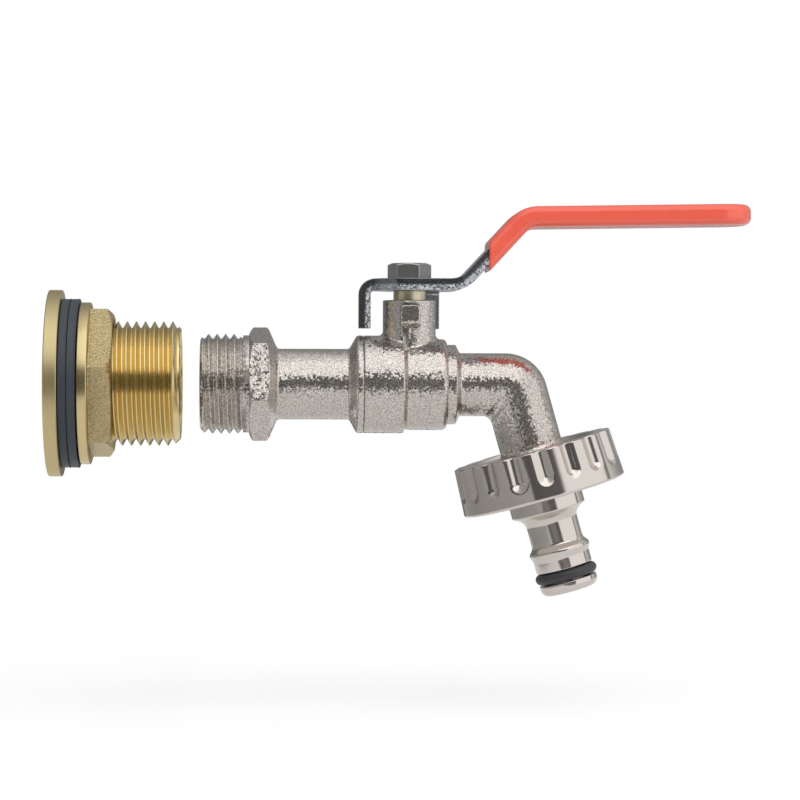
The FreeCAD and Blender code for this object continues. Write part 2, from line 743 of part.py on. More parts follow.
def lever_screw():
    """Hexagon screw that holds the lever on the stem's square."""
    corner_r = across_corners(SCREW_FLATS)
    end = plate_top + SCREW_HEAD_T
    crown = turned([
        (plate_top, 0),
        (plate_top, corner_r + 1),
        (end - (corner_r + 1 - SCREW_FLATS / 2) * math.tan(math.radians(30)), corner_r + 1),
        (end, SCREW_FLATS / 2 - EDGE_BREAK),
        (end, 0),
    ], UP_STEM)
    head = hexagon(SCREW_FLATS, plate_top, end, SCREW_TURN, UP_STEM).common(crown)
    return head.fuse(rod(SCREW_R, plate_z - SCREW_DEPTH, plate_top + 1, UP_STEM)).removeSplitter()


def union_nut():
    """Fluted nut that draws the hose tail up to the outlet."""
    bore_r = OUTLET_THREAD_R + RUNNING
    mouth_l = UNION_MOUTH_R - bore_r
    nut = turned([
        (union_start, UNION_MOUTH_R),
        (union_start, UNION_TOP_R, 0.3),
        (union_end, UNION_BOTTOM_R, UNION_ROUND),
        (union_end, TAIL_COLLAR_R + RUNNING),
        (union_floor, TAIL_COLLAR_R + RUNNING),
        (union_floor, bore_r),
        (union_start + mouth_l, bore_r),
    ], DOWN_SPOUT)
    cutter_r = FLUTE_W * FLUTE_W / 8 / FLUTE_DEPTH + FLUTE_DEPTH / 2
    ball_x = union_start + FLUTE_L - cutter_r
    lean = math.degrees(math.atan((UNION_BOTTOM_R - UNION_TOP_R) / UNION_L))
    along = (ball_x - union_start) / UNION_L
    surface_r = UNION_TOP_R + (UNION_BOTTOM_R - UNION_TOP_R) * along
    run = Part.makeCylinder(cutter_r, FLUTE_L, V(0, 0, 0), V(-1, 0, 0))
    flute = run.fuse(Part.makeSphere(cutter_r))
    flute.rotate(V(0, 0, 0), V(0, 0, 1), lean)
    flute.translate(V(ball_x, -(surface_r - FLUTE_DEPTH + cutter_r), 0))
    cutters = []
    for i in range(FLUTES):
        copy = flute.copy()
        copy.rotate(V(0, 0, 0), V(1, 0, 0), -FLUTE_TURN - 360 * i / FLUTES)
        cutters.append(moved(copy, DOWN_SPOUT))
    return nut.cut(cutters)


def hose_tail():
    """Turned tail: flange held by the nut, collar, waist, ridge, ring groove and nose."""
    end = union_end + TAIL_L
    start = union_end
    groove_r = TAIL_RING_R - TAIL_RING_CORD - CLOSE
    groove_end = TAIL_GROOVE_START + TAIL_GROOVE_L
    return turned([
        (tail_flange_start, TAIL_BORE_R),
        (tail_flange_start, TAIL_FLANGE_R),
        (tail_flange_end, TAIL_FLANGE_R),
        (tail_flange_end, TAIL_COLLAR_R),
        (start + TAIL_COLLAR_L, TAIL_COLLAR_R, 0.2),
        (start + TAIL_COLLAR_L + 0.6, TAIL_COLLAR_R - 1.3),
        (start + TAIL_WAIST_START - 1.4, TAIL_WAIST_R, 2.0),
        (start + TAIL_WAIST_END, TAIL_WAIST_R, 0.5),
        (start + TAIL_RIDGE_START, TAIL_RIDGE_R, 0.3),
        (start + TAIL_RIDGE_START + TAIL_RIDGE_L, TAIL_RIDGE_R, 0.3),
        (start + TAIL_RIDGE_START + TAIL_RIDGE_L + 1.4, TAIL_LAND_R, 0.5),
        (start + TAIL_GROOVE_START, TAIL_LAND_R),
        (start + TAIL_GROOVE_START, groove_r),
        (start + groove_end, groove_r),
        (start + groove_end, TAIL_TIP_R),
        (end - 1.3, TAIL_TIP_R, 0.3),
        (end, TAIL_TIP_R - 1.0, 0.3),
        (end, TAIL_BORE_R),
    ], DOWN_SPOUT)


def tail_flat_washer():
    """Rubber washer between the outlet and the tail's flange."""
    ring = rod(TAIL_WASHER_R, tail_washer_start, tail_flange_start, DOWN_SPOUT)
    return ring.cut(rod(TAIL_WASHER_BORE_R, tail_washer_start - 1, tail_flange_start + 1, DOWN_SPOUT))


def tail_o_ring():
    """Rubber ring on the nose of the tail."""
    centre = union_end + TAIL_GROOVE_START + TAIL_GROOVE_L / 2
    return torus(centre, TAIL_RING_R - TAIL_RING_CORD / 2, TAIL_RING_CORD, DOWN_SPOUT)


PIECES = {
    "tank_connector": tank_connector,
    "inner_seal": inner_seal,
    "outer_seal": outer_seal,
    "back_nut": back_nut,
    "inlet_end": inlet_end,
    "inlet_joint_seal": inlet_joint_seal,
    "valve_body": valve_body,
    "inlet_seat": inlet_seat,
    "outlet_seat": outlet_seat,
    "ball": ball,
    "stem": stem,
    "stem_thrust_washer": stem_thrust_washer,
    "stem_o_ring_lower": lambda: stem_ring(stem_ring_lower_z),
    "stem_o_ring_upper": lambda: stem_ring(stem_ring_upper_z),
    "lever": lever,
    "lever_grip": lever_grip,
    "lever_screw": lever_screw,
    "union_nut": union_nut,
    "hose_tail": hose_tail,
    "tail_flat_washer": tail_flat_washer,
    "tail_o_ring": tail_o_ring,
}

os.makedirs("parts", exist_ok=True)
for node, make in PIECES.items():
    shape = make()
    print(node, shape.isValid(), len(shape.Solids), round(shape.Volume, 1))
    shape.exportStep("parts/" + node + ".step")
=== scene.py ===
"""Water butt tap with its brass tank connector: the looks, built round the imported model.

Every piece is drawn in millimetres about the pipe's axis, X, then put in its place in metres.
"""

import bmesh
import bpy
import math
from mathutils import Euler, Matrix, Vector


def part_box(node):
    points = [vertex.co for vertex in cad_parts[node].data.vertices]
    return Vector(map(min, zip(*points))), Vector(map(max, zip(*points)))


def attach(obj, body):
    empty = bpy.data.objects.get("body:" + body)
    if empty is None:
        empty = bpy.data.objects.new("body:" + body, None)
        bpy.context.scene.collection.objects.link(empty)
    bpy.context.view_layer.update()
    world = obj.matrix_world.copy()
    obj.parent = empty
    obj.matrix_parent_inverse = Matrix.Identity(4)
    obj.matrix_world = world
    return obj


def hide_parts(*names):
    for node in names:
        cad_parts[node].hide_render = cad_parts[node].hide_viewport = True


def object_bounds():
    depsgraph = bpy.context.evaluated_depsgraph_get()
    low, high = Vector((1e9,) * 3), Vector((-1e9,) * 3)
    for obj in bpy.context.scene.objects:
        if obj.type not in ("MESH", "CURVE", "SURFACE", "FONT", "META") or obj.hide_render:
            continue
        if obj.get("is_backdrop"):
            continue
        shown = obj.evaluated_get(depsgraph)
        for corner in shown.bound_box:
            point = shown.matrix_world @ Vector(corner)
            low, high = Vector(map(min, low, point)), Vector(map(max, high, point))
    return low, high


bl_info = {
    "name": "Water butt tap",
    "version": (1, 0, 0),
    "blender": (4, 5, 0),
    "location": "3D View > Sidebar > Tap",
    "description": "Builds a lever ball tap with its brass tank connector and hose tail",
    "category": "Add Mesh",
}

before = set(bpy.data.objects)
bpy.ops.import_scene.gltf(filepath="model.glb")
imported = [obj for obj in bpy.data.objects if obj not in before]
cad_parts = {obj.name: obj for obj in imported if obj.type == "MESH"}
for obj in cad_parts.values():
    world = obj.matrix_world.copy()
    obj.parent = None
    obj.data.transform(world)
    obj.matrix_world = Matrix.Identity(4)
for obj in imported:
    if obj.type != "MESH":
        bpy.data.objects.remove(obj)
MM = 0.001


def linear(text):
    """Linear colour of an sRGB hex value."""
    parts = [int(text[i:i + 2], 16) / 255 for i in (1, 3, 5)]
    return tuple(p / 12.92 if p <= 0.04045 else ((p + 0.055) / 1.055) ** 2.4 for p in parts)


# Stations along the pipe and along the outlet, as in the part's source, in millimetres
FLANGE_LEFT = -5.9
FLANGE_RIGHT = -2.3
FLANGE_R = 24.75
SEAL_HOLE_R = 16.8
COLLAR_END = 5.3            # where the back nut's round washer face meets its hexagon
SHANK_END = 29.0
SHANK_R = 16.5
SHANK_CREST_X = 26.85       # a crest at the top of the shank
BORE_R = 13.27
BORE_THREAD_DEPTH = 0.9
TAP_X = 34.2
TAP_THREAD_R = 13.22
TAP_CREST_X = 43.1          # a crest at the top of the inlet
RELIEF_X = 45.5             # where the inlet's thread ends before its hexagon
HEXAGON_END = 55.0
MOUTH_R = 9.82
BODY_JOINT = (77.5, 13.0)   # station and radius of the joint between inlet end and body
STEM_X = 89.7
PAD_BOTTOM = 13.0           # height above which the boss's front pad lies
GRIP_START = 110.4
CORNER_X = 117.7
SPOUT_TILT = 15.8           # degrees from straight down
SPOUT_R = 8.4
CORNER_FILL_R = 2.5         # rounding of the bend's inner corner
UNION_START = 17.8
UNION_END = 30.8
UNION_FLOOR = 27.9
UNION_TOP_R = 21.4
UNION_BOTTOM_R = 22.15
UNION_MOUTH_R = 17.6
UNION_BORE_R = 16.65
UNION_HOLE_R = 10.05
FLUTES = 18
FLUTE_END = 27.5
FLUTE_TURN = math.radians(0.5)
TAIL_FLANGE_START = 25.8
TAIL_FLANGE_END = 27.8
TAIL_BORE_R = 4.4
TAIL_FLANGE_R = 15.4
TAIL_HEAD_R = 10.0          # shows below the union nut
TAIL_NECK_R = 6.95
TAIL_BEAD_R = 8.2
TAIL_BARREL_R = 7.6
TAIL_GROOVE_R = 5.58        # floor of the rubber ring's groove
TAIL_END_R = 7.8            # past that groove

SQUARE_ON = 0.99            # a face is square to an axis when its normal has more than this along it

# How far a thread's skin stops from a face or a bore's mouth, and from an outer end. The small gap to
# the turned form beside it is then closed.
THREAD_INSET = 0.3
THREAD_END_INSET = 0.1
THREAD_GAP = 0.02

# Half a pitch of a thread's outline: share of the pitch, and share of the depth above the root
THREAD_FORM = ((0, 0), (0.05, 0), (0.2, 0.33), (0.32, 0.66), (0.45, 1))

DOWN_SPOUT = (
    Matrix.Translation((CORNER_X, 0, 0)) @ Matrix.Rotation(math.radians(90 - SPOUT_TILT), 4, "Y")
)

# The stage, in metres
FLOOR_DROP = 0.03           # from the object's lowest point down to the floor
FLOOR_X = 0.09
FLOOR_HALF_WIDTH = 2.0
FLOOR_AHEAD = 0.2           # beyond it the metals mirror the dark room, not the floor
FLOOR_BEHIND = 1.2
CAMERA_PLACE = (0.05727, -0.8, 0.00452)
CAMERA_AIM = (0.08732, 0, -0.00416)
CAMERA_ROLL = 0.2146        # degrees
CAMERA_LENS = 135.05        # millimetres, on a sensor 36 wide

# Dark upright fields in the room, in degrees seen from the object: middle, half width, blur of the edge
WINDOW_ACROSS = (-8, 32, 3)
WINDOW_UP = (3, 20, 2)
POST_ACROSS = (103, 4, 1)

# Grey cards that only reflections see: place (the height counts from the object's lowest point),
# turn in degrees, half size, and shade
CARDS = {
    "pale_card": ((0.117, -0.3, -0.012), (90, 0, 0), (0.127, 0.018), 0.62),
    "dark_card": ((0.03, -0.04, -0.003), (90, 0, 90), (0.26, 0.026), 0.52),
    "rear_card": ((-0.1, 0.25, 0.01), (90, 0, 0), (0.215, 0.039), 0.2),
}


class TapSizes(bpy.types.PropertyGroup):
    """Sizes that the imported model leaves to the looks."""

    shank_pitch: bpy.props.FloatProperty(
        name="Shank thread pitch", description="Pitch of the one inch pipe thread",
        default=0.00242, min=0.001, max=0.004, precision=5, unit="LENGTH", subtype="DISTANCE")
    shank_depth: bpy.props.FloatProperty(
        name="Shank thread depth", description="From the crests of the shank's thread to its roots",
        default=0.0017, min=0.0005, max=0.002, precision=5, unit="LENGTH", subtype="DISTANCE")
    inlet_pitch: bpy.props.FloatProperty(
        name="Inlet thread pitch", description="Pitch of the three quarter inch pipe thread",
        default=0.00226, min=0.001, max=0.004, precision=5, unit="LENGTH", subtype="DISTANCE")
    inlet_depth: bpy.props.FloatProperty(
        name="Inlet thread depth", description="From the crests of the inlet's thread to its roots",
        default=0.0012, min=0.0005, max=0.002, precision=5, unit="LENGTH", subtype="DISTANCE")
    flute_depth: bpy.props.FloatProperty(
        name="Flute depth", description="Depth of the flutes round the union nut",
        default=0.0013, min=0.0002, max=0.002, precision=5, unit="LENGTH", subtype="DISTANCE")
    flute_width: bpy.props.FloatProperty(
        name="Flute width", description="Width of a flute, from lip to lip",
        default=0.0054, min=0.001, max=0.007, precision=5, unit="LENGTH", subtype="DISTANCE")
    machined_edge: bpy.props.FloatProperty(
        name="Machined edge", description="Width of the broken edges on turned and milled pieces",
        default=0.0002, min=0.00005, max=0.001, precision=5, unit="LENGTH", subtype="DISTANCE")
    cast_edge: bpy.props.FloatProperty(
        name="Cast edge", description="Width of the rounded edges on cast pieces",
        default=0.0005, min=0.00005, max=0.001, precision=5, unit="LENGTH", subtype="DISTANCE")
    coat_edge: bpy.props.FloatProperty(
        name="Coat edge", description="Width of the rounded lip where the grip's coat ends",
        default=0.0006, min=0.00005, max=0.001, precision=5, unit="LENGTH", subtype="DISTANCE")


class TapColours(bpy.types.PropertyGroup):
    """Colours of the finishes."""

    brass: bpy.props.FloatVectorProperty(
        name="Brass", description="Turned brass", subtype="COLOR", default=linear("#E6D3A0"))
    forging: bpy.props.FloatVectorProperty(
        name="Forging", description="Forged brass of the back nut", subtype="COLOR",
        default=linear("#D6C292"))
    nickel: bpy.props.FloatVectorProperty(
        name="Nickel", description="Nickel plate", subtype="COLOR", default=linear("#DAD3CC"))
    zinc: bpy.props.FloatVectorProperty(
        name="Zinc", description="Zinc plate on the lever", subtype="COLOR", default=linear("#C4C8CE"))
    screw: bpy.props.FloatVectorProperty(
        name="Screw", description="Screw on the stem", subtype="COLOR", default=linear("#C0BEBB"))
    stem: bpy.props.FloatVectorProperty(
        name="Stem", description="Brass of the stem", subtype="COLOR", default=linear("#E9DFC0"))
    chrome: bpy.props.FloatVectorProperty(
        name="Chrome", description="Chrome on the ball", subtype="COLOR", default=linear("#C9CBCC"))
    plastic: bpy.props.FloatVectorProperty(
        name="Plastic", description="Seats of the ball", subtype="COLOR", default=linear("#EDEBE6"))
    seal: bpy.props.FloatVectorProperty(
        name="Seal", description="Rubber of the flat seals", subtype="COLOR", default=linear("#3C444D"))
    ring: bpy.props.FloatVectorProperty(
        name="Ring", description="Rubber of the round rings", subtype="COLOR", default=linear("#1C1E24"))
    grip: bpy.props.FloatVectorProperty(
        name="Grip", description="Dipped coat of the lever", subtype="COLOR", default=linear("#FF6A54"))
    backdrop: bpy.props.FloatVectorProperty(
        name="Backdrop", description="Background", subtype="COLOR", default=linear("#FFFFFF"))
    floor: bpy.props.FloatVectorProperty(
        name="Floor", description="Paper on the floor", subtype="COLOR", default=linear("#D2D2D2"))


def sizes():
    """Sizes chosen for the scene."""
    return bpy.context.scene.tap_sizes


def colours():
    """Colours chosen for the scene."""
    return bpy.context.scene.tap_colours


def add(tree, kind, settings=None, links=None):
    """Adds a shader node with its properties and input values, and links its inputs to sources."""
    made = tree.nodes.new("ShaderNode" + kind)
    for name, value in (settings or {}).items():
        if isinstance(name, str) and name in made.bl_rna.properties:
            setattr(made, name, value)
        else:
            made.inputs[name].default_value = value
    for name, source in (links or {}).items():
        tree.links.new(source, made.inputs[name])
    return made


def new_finish(name, colour, **inputs):
    """New material with one Principled shader. Returns the material, its tree and the shader."""
    material = bpy.data.materials.new(name)
    material.use_nodes = True
    tree = material.node_tree
    shader = tree.nodes["Principled BSDF"]
    shader.inputs["Base Color"].default_value = (*colour, 1)
    for label, value in inputs.items():
        shader.inputs[label.replace("_", " ").title().replace("Ior", "IOR")].default_value = value
    return material, tree, shader


def on_pipe(tree):
    """Object coordinates, whose X is the pipe's axis."""
    return add(tree, "TexCoord").outputs["Object"]


def on_spout(tree):
    """Object coordinates turned so that X is the outlet's axis."""
    place = DOWN_SPOUT.to_euler()
    centre = add(tree, "Mapping", {"vector_type": "TEXTURE"}, {"Vector": on_pipe(tree)})
    centre.inputs["Location"].default_value = (CORNER_X * MM, 0, 0)
    centre.inputs["Rotation"].default_value = place
    return centre.outputs["Vector"]


def on_stem(tree):
    """Object coordinates turned so that X is the stem's axis."""
    centre = add(tree, "Mapping", {"vector_type": "TEXTURE"}, {"Vector": on_pipe(tree)})
    centre.inputs["Location"].default_value = (STEM_X * MM, 0, 0)
    centre.inputs["Rotation"].default_value = Euler((0, math.radians(-90), 0))
    return centre.outputs["Vector"]


def turned_rings(tree, place, width):
    """Noise that changes only along an axis and with the distance from it, like a lathe tool's marks.

    The real feed is about 0.1 mm. The rings are drawn wider, so that they show.
    """
    apart = add(tree, "SeparateXYZ", links={"Vector": place})
    square_y = add(tree, "Math", {"operation": "POWER", 1: 2.0}, {0: apart.outputs["Y"]})
    square_z = add(tree, "Math", {"operation": "POWER", 1: 2.0}, {0: apart.outputs["Z"]})
    total = add(tree, "Math", {"operation": "ADD"}, {0: square_y.outputs[0], 1: square_z.outputs[0]})
    radius = add(tree, "Math", {"operation": "SQRT"}, {0: total.outputs[0]})
    rings = add(tree, "CombineXYZ", links={"X": apart.outputs["X"], "Y": radius.outputs[0]})
    return add(tree, "TexNoise", {"Scale": 1 / width, "Detail": 2.0}, {"Vector": rings.outputs[0]})


def pitted(tree, place, width, detail):
    """Noise without a direction, for a blasted, moulded or flowed skin."""
    return add(tree, "TexNoise", {"Scale": 1 / width, "Detail": detail}, {"Vector": place})


def roughness_from(tree, shader, source, low, high):
    """Roughness that follows a pattern between two values."""
    spread = add(tree, "MapRange", {"To Min": low, "To Max": high}, {"Value": source})
    tree.links.new(spread.outputs[0], shader.inputs["Roughness"])


def bump_from(tree, shader, source, height):
    """Relief that follows a pattern: the source times the height, in metres."""
    bump = add(tree, "Bump", {"Distance": height, "Strength": 1.0}, {"Height": source})
    tree.links.new(bump.outputs[0], shader.inputs["Normal"])


def facets(tree, place, width):
    """Height, in metres, of grains that each lean their own way."""
    grains = add(tree, "TexVoronoi", {"Scale": 1 / width}, {"Vector": place})
    inside = add(tree, "VectorMath", {"operation": "SUBTRACT"},
                 {0: place, 1: grains.outputs["Position"]})
    lean = add(tree, "VectorMath", {"operation": "SUBTRACT", 1: (0.5, 0.5, 0.5)},
               {0: grains.outputs["Color"]})
    height = add(tree, "VectorMath", {"operation": "DOT_PRODUCT"},
                 {0: inside.outputs[0], 1: lean.outputs[0]})
    return height.outputs["Value"]


def left_of(tree, place, station):
    """1 to the left of a station on the X axis, and 0 to the right of it."""
    along = add(tree, "SeparateXYZ", links={"Vector": place})
    share = add(tree, "MapRange", {"From Min": (station - 0.1) * MM, "From Max": station * MM,
                                   "To Min": 1.0, "To Max": 0.0}, {"Value": along.outputs["X"]})
    return share.outputs[0]


def speckled_from(tree, shader, source, low, high):
    """Multiplies the base colour by a share that follows a pattern between two values.

    Noise stays mostly between 0.4 and 0.6, so that range is spread over the shares.
    """
    colour = shader.inputs["Base Color"].default_value[:3]
    share = add(tree, "MapRange", {"From Min": 0.4, "From Max": 0.6, "To Min": low, "To Max": high},
                {"Value": source})
    shade = add(tree, "VectorMath", {"operation": "SCALE", 0: colour}, {"Scale": share.outputs[0]})
    tree.links.new(shade.outputs[0], shader.inputs["Base Color"])


def turned_brass():
    """Free-cutting brass from the lathe: a bright thread, and a satin flange faced with a coarse cut,
    whose colour is darkened as painted shade.
    """
    material, tree, shader = new_finish("turned_brass", colours().brass, metallic=1.0)
    place = on_pipe(tree)
    rings = turned_rings(tree, place, 0.35 * MM)
    flange = left_of(tree, place, FLANGE_RIGHT)
    satin = add(tree, "Math", {"operation": "MULTIPLY_ADD", 1: 0.3},
                {0: rings.outputs["Fac"], 2: flange})
    # Painted shade: the flange's colour is darkened to 0.8 of the brass
    speckled_from(tree, shader, flange, 1.0, 0.8)
    roughness_from(tree, shader, satin.outputs[0], 0.18, 0.4)
    bump_from(tree, shader, rings.outputs["Fac"], 0.008 * MM)
    return material


def stem_brass():
    """Free-cutting brass from the lathe, dulled: rings of the tool's marks."""
    material, tree, shader = new_finish("stem_brass", colours().stem, metallic=1.0)
    rings = turned_rings(tree, on_stem(tree), 0.35 * MM)
    roughness_from(tree, shader, rings.outputs["Fac"], 0.3, 0.45)
    bump_from(tree, shader, rings.outputs["Fac"], 0.008 * MM)
    return material


def forged_brass():
    """Hot-forged and blasted brass: a dull, pitted skin, cut away on the round washer face.

    The real grit is about 0.2 mm. The pits are drawn at 0.45 mm, so that they show.
    """
    material, tree, shader = new_finish("forged_brass", colours().forging, metallic=1.0)
    place = on_pipe(tree)
    pits = pitted(tree, place, 0.45 * MM, 3.0)
    skin = add(tree, "Math", {"operation": "MAXIMUM"},
               {0: pits.outputs["Fac"], 1: left_of(tree, place, COLLAR_END)})
    speckled_from(tree, shader, skin.outputs[0], 0.75, 1.05)
    roughness_from(tree, shader, skin.outputs[0], 0.5, 0.26)
    bump_from(tree, shader, skin.outputs[0], 0.3 * MM)
    return material


def cast_nickel():
    """Nickel over a blasted casting: each grain mirrors its own bit of the room, and painted shade
    darkens the pits.

    The real grit is about 0.2 mm. Pits and grains are drawn at 0.36 and 0.5 mm, so that they show.
    """
    material, tree, shader = new_finish("cast_nickel", colours().nickel, metallic=1.0)
    place = on_pipe(tree)
    pits = pitted(tree, place, 0.36 * MM, 1.0)
    # Painted shade in the pits: the base colour runs from 0.66 of the nickel in the pits to 1.09 between
    # them
    speckled_from(tree, shader, pits.outputs["Fac"], 0.66, 1.09)
    roughness_from(tree, shader, pits.outputs["Fac"], 0.22, 0.12)
    bump_from(tree, shader, facets(tree, place, 0.5 * MM), 0.22)
    return material


def polished_nickel():
    """Nickel over turned and buffed brass: close to a mirror, with faint waves."""
    material, tree, shader = new_finish("polished_nickel", colours().nickel, metallic=1.0)
    waves = turned_rings(tree, on_spout(tree), 0.9 * MM)
    roughness_from(tree, shader, waves.outputs["Fac"], 0.07, 0.13)
    bump_from(tree, shader, waves.outputs["Fac"], 0.004 * MM)
    return material


def zinc_plate():
    """Zinc over pressed steel: smooth faces, and a cut edge burnished above and torn below, the
    burnished band darkened in colour as a painted dark reflection.
    """
    material, tree, shader = new_finish("zinc_plated_steel", colours().zinc, metallic=1.0)
    edge = add(tree, "Attribute", {"attribute_name": "blanked_edge"})
    torn = add(tree, "MapRange", {"From Min": 0.45, "From Max": 0.65, "To Min": 0.08},
               {"Value": edge.outputs["Fac"]})
    # Painted dark reflection: the upper half of the cut edge is darkened to 0.42 of the zinc's colour;
    # its lower half and the plate's faces keep the full colour
    plain = add(tree, "Math", {"operation": "ABSOLUTE"}, {0: edge.outputs["Fac"]})
    speckled_from(tree, shader, plain.outputs[0], 0.42, 1.0)
    grain = facets(tree, on_pipe(tree), 0.5 * MM)
    depth = add(tree, "Math", {"operation": "MULTIPLY"}, {0: grain, 1: torn.outputs[0]})
    roughness_from(tree, shader, torn.outputs[0], 0.16, 0.26)
    bump_from(tree, shader, depth.outputs[0], 0.8)
    return material


def screw_steel():
    """Cold-headed and dull-plated steel: even, with a soft haze."""
    material, tree, shader = new_finish("screw_steel", colours().screw, metallic=1.0)
    haze = pitted(tree, on_stem(tree), 0.8 * MM, 2.0)
    roughness_from(tree, shader, haze.outputs["Fac"], 0.25, 0.36)
    bump_from(tree, shader, haze.outputs["Fac"], 0.012 * MM)
    return material


def moulded_rubber(name, colour, low, high):
    """Moulded nitrile rubber: dark and dull, with the fine bloom of its mould."""
    material, tree, shader = new_finish(name, colour, ior=1.52)
    bloom = pitted(tree, on_pipe(tree), 0.9 * MM, 4.0)
    roughness_from(tree, shader, bloom.outputs["Fac"], low, high)
    bump_from(tree, shader, bloom.outputs["Fac"], 0.02 * MM)
    return material


def seal_rubber():
    """Rubber of the flat seals, the duller one."""
    return moulded_rubber("seal_rubber", colours().seal, 0.42, 0.58)


def ring_rubber():
    """Rubber of the round rings, with a little shine from their grease."""
    return moulded_rubber("ring_rubber", colours().ring, 0.28, 0.4)


def dipped_vinyl():
    """Vinyl coat from a dip: soft and glossy, flowed level."""
    material, tree, shader = new_finish("dipped_vinyl", colours().grip, ior=1.53, coat_weight=0.3)
    shader.inputs["Coat Roughness"].default_value = 0.05
    flow = pitted(tree, on_pipe(tree), 6 * MM, 2.0)
    roughness_from(tree, shader, flow.outputs["Fac"], 0.16, 0.24)
    bump_from(tree, shader, flow.outputs["Fac"], 0.05 * MM)
    return material


def white_plastic():
    """Machined fluoroplastic of the seats: waxy white, with the lathe's rings."""
    material, tree, shader = new_finish("fluoroplastic", colours().plastic, ior=1.35)
    rings = turned_rings(tree, on_pipe(tree), 0.5 * MM)
    roughness_from(tree, shader, rings.outputs["Fac"], 0.35, 0.5)
    return material


def ball_chrome():
    """Hard chrome over a ground ball: a mirror with faint rings."""
    material, tree, shader = new_finish("ball_chrome", colours().chrome, metallic=1.0)
    haze = turned_rings(tree, on_pipe(tree), 0.8 * MM)
    roughness_from(tree, shader, haze.outputs["Fac"], 0.06, 0.1)
    return material


def shared(make):
    """A nickel finish that several pieces wear, made once. No packed material has its name."""
    return bpy.data.materials.get(make.__name__) or make()


def cad_copy(node):
    """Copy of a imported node's mesh in millimetres, its doubles merged."""
    bm = bmesh.new()
    bm.from_mesh(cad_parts[node].data)
    bmesh.ops.scale(bm, vec=(1000, 1000, 1000), verts=bm.verts)
    bmesh.ops.remove_doubles(bm, verts=bm.verts, dist=0.002)
    return bm


def widest(faces):
    """The face with the largest area."""
    return max(faces, key=lambda face: face.calc_area())


def merge_flat(bm):
    """Joins the triangles of flat faces."""
    bmesh.ops.dissolve_limit(bm, angle_limit=math.radians(0.5), verts=bm.verts, edges=bm.edges)


def round_edges(bm, edges, width, segments=2):
    """Rounds some edges to a width on each side."""
    bmesh.ops.bevel(bm, geom=edges, offset=width, offset_type="OFFSET", affect="EDGES",
                    segments=segments, profile=0.5, material=-1, clamp_overlap=False)


def round_corner(bm, vert, reach, segments):
    """Rounds one corner of an outline, over some reach on each side."""
    return bmesh.ops.bevel(bm, geom=[vert], offset=reach, offset_type="OFFSET", affect="VERTICES",
                           segments=segments, profile=0.5, material=-1)


def sharp_edges(bm, shortest=0.0):
    """Edges that turn by more than 28 degrees and are longer than some length."""
    return [e for e in bm.edges if e.is_manifold and e.calc_face_angle() > math.radians(28)
            and e.calc_length() > shortest]


def round_rims(bm, rims, width, place=Matrix()):
    """Rounds the sharp rims about an axis that lie at some (station, radius) places."""
    back = place.inverted()
    chosen = []
    for edge in sharp_edges(bm):
        ends = [back @ vert.co for vert in edge.verts]
        for station, radius in rims:
            if all(abs(end.x - station) < 0.1 and abs(math.hypot(end.y, end.z) - radius) < 0.12
                   for end in ends):
                chosen.append(edge)
                break
    round_edges(bm, chosen, width)


def lathe(bm, corners, closed=False, steps=96):
    """Turns a line of (x, radius[, rounding]) corners about X.

    A rounding is measured along the line.
    """
    verts = [bm.verts.new((corner[0], 0, corner[1])) for corner in corners]
    pairs = list(zip(verts, verts[1:])) + ([(verts[-1], verts[0])] if closed else [])
    edges = [bm.edges.new(pair) for pair in pairs]
    line = set(verts)
    for vert, corner in zip(verts, corners):
        if len(corner) > 2:
            made = round_corner(bm, vert, corner[2], 5)
            line.discard(vert)
            line.update(made["verts"])
    line = [v for v in line if v.is_valid]
    edges = {e for v in line for e in v.link_edges if not e.link_faces}
    bmesh.ops.spin(bm, geom=line + list(edges), cent=(0, 0, 0), axis=(1, 0, 0), angle=math.tau,
                   steps=steps, use_merge=True)


def mesh_from(bm, name):
    """New mesh with what was drawn, which is freed."""
    mesh = bpy.data.meshes.new(name)
    bm.to_mesh(mesh)
    bm.free()
    return mesh


def take_in(bm, part):
    """Adds a part that was drawn on its own, which is freed."""
    carrier = mesh_from(part, "part")
    bm.from_mesh(carrier)
    bpy.data.meshes.remove(carrier)


def cut_away(bm, station, side):
    """Cuts off what lies to the left (side -1) or to the right (side 1) of a station."""
    everything = bm.verts[:] + bm.edges[:] + bm.faces[:]
    bmesh.ops.bisect_plane(bm, geom=everything, plane_co=(station, 0, 0), plane_no=(side, 0, 0),
                           dist=0.001, clear_outer=True)


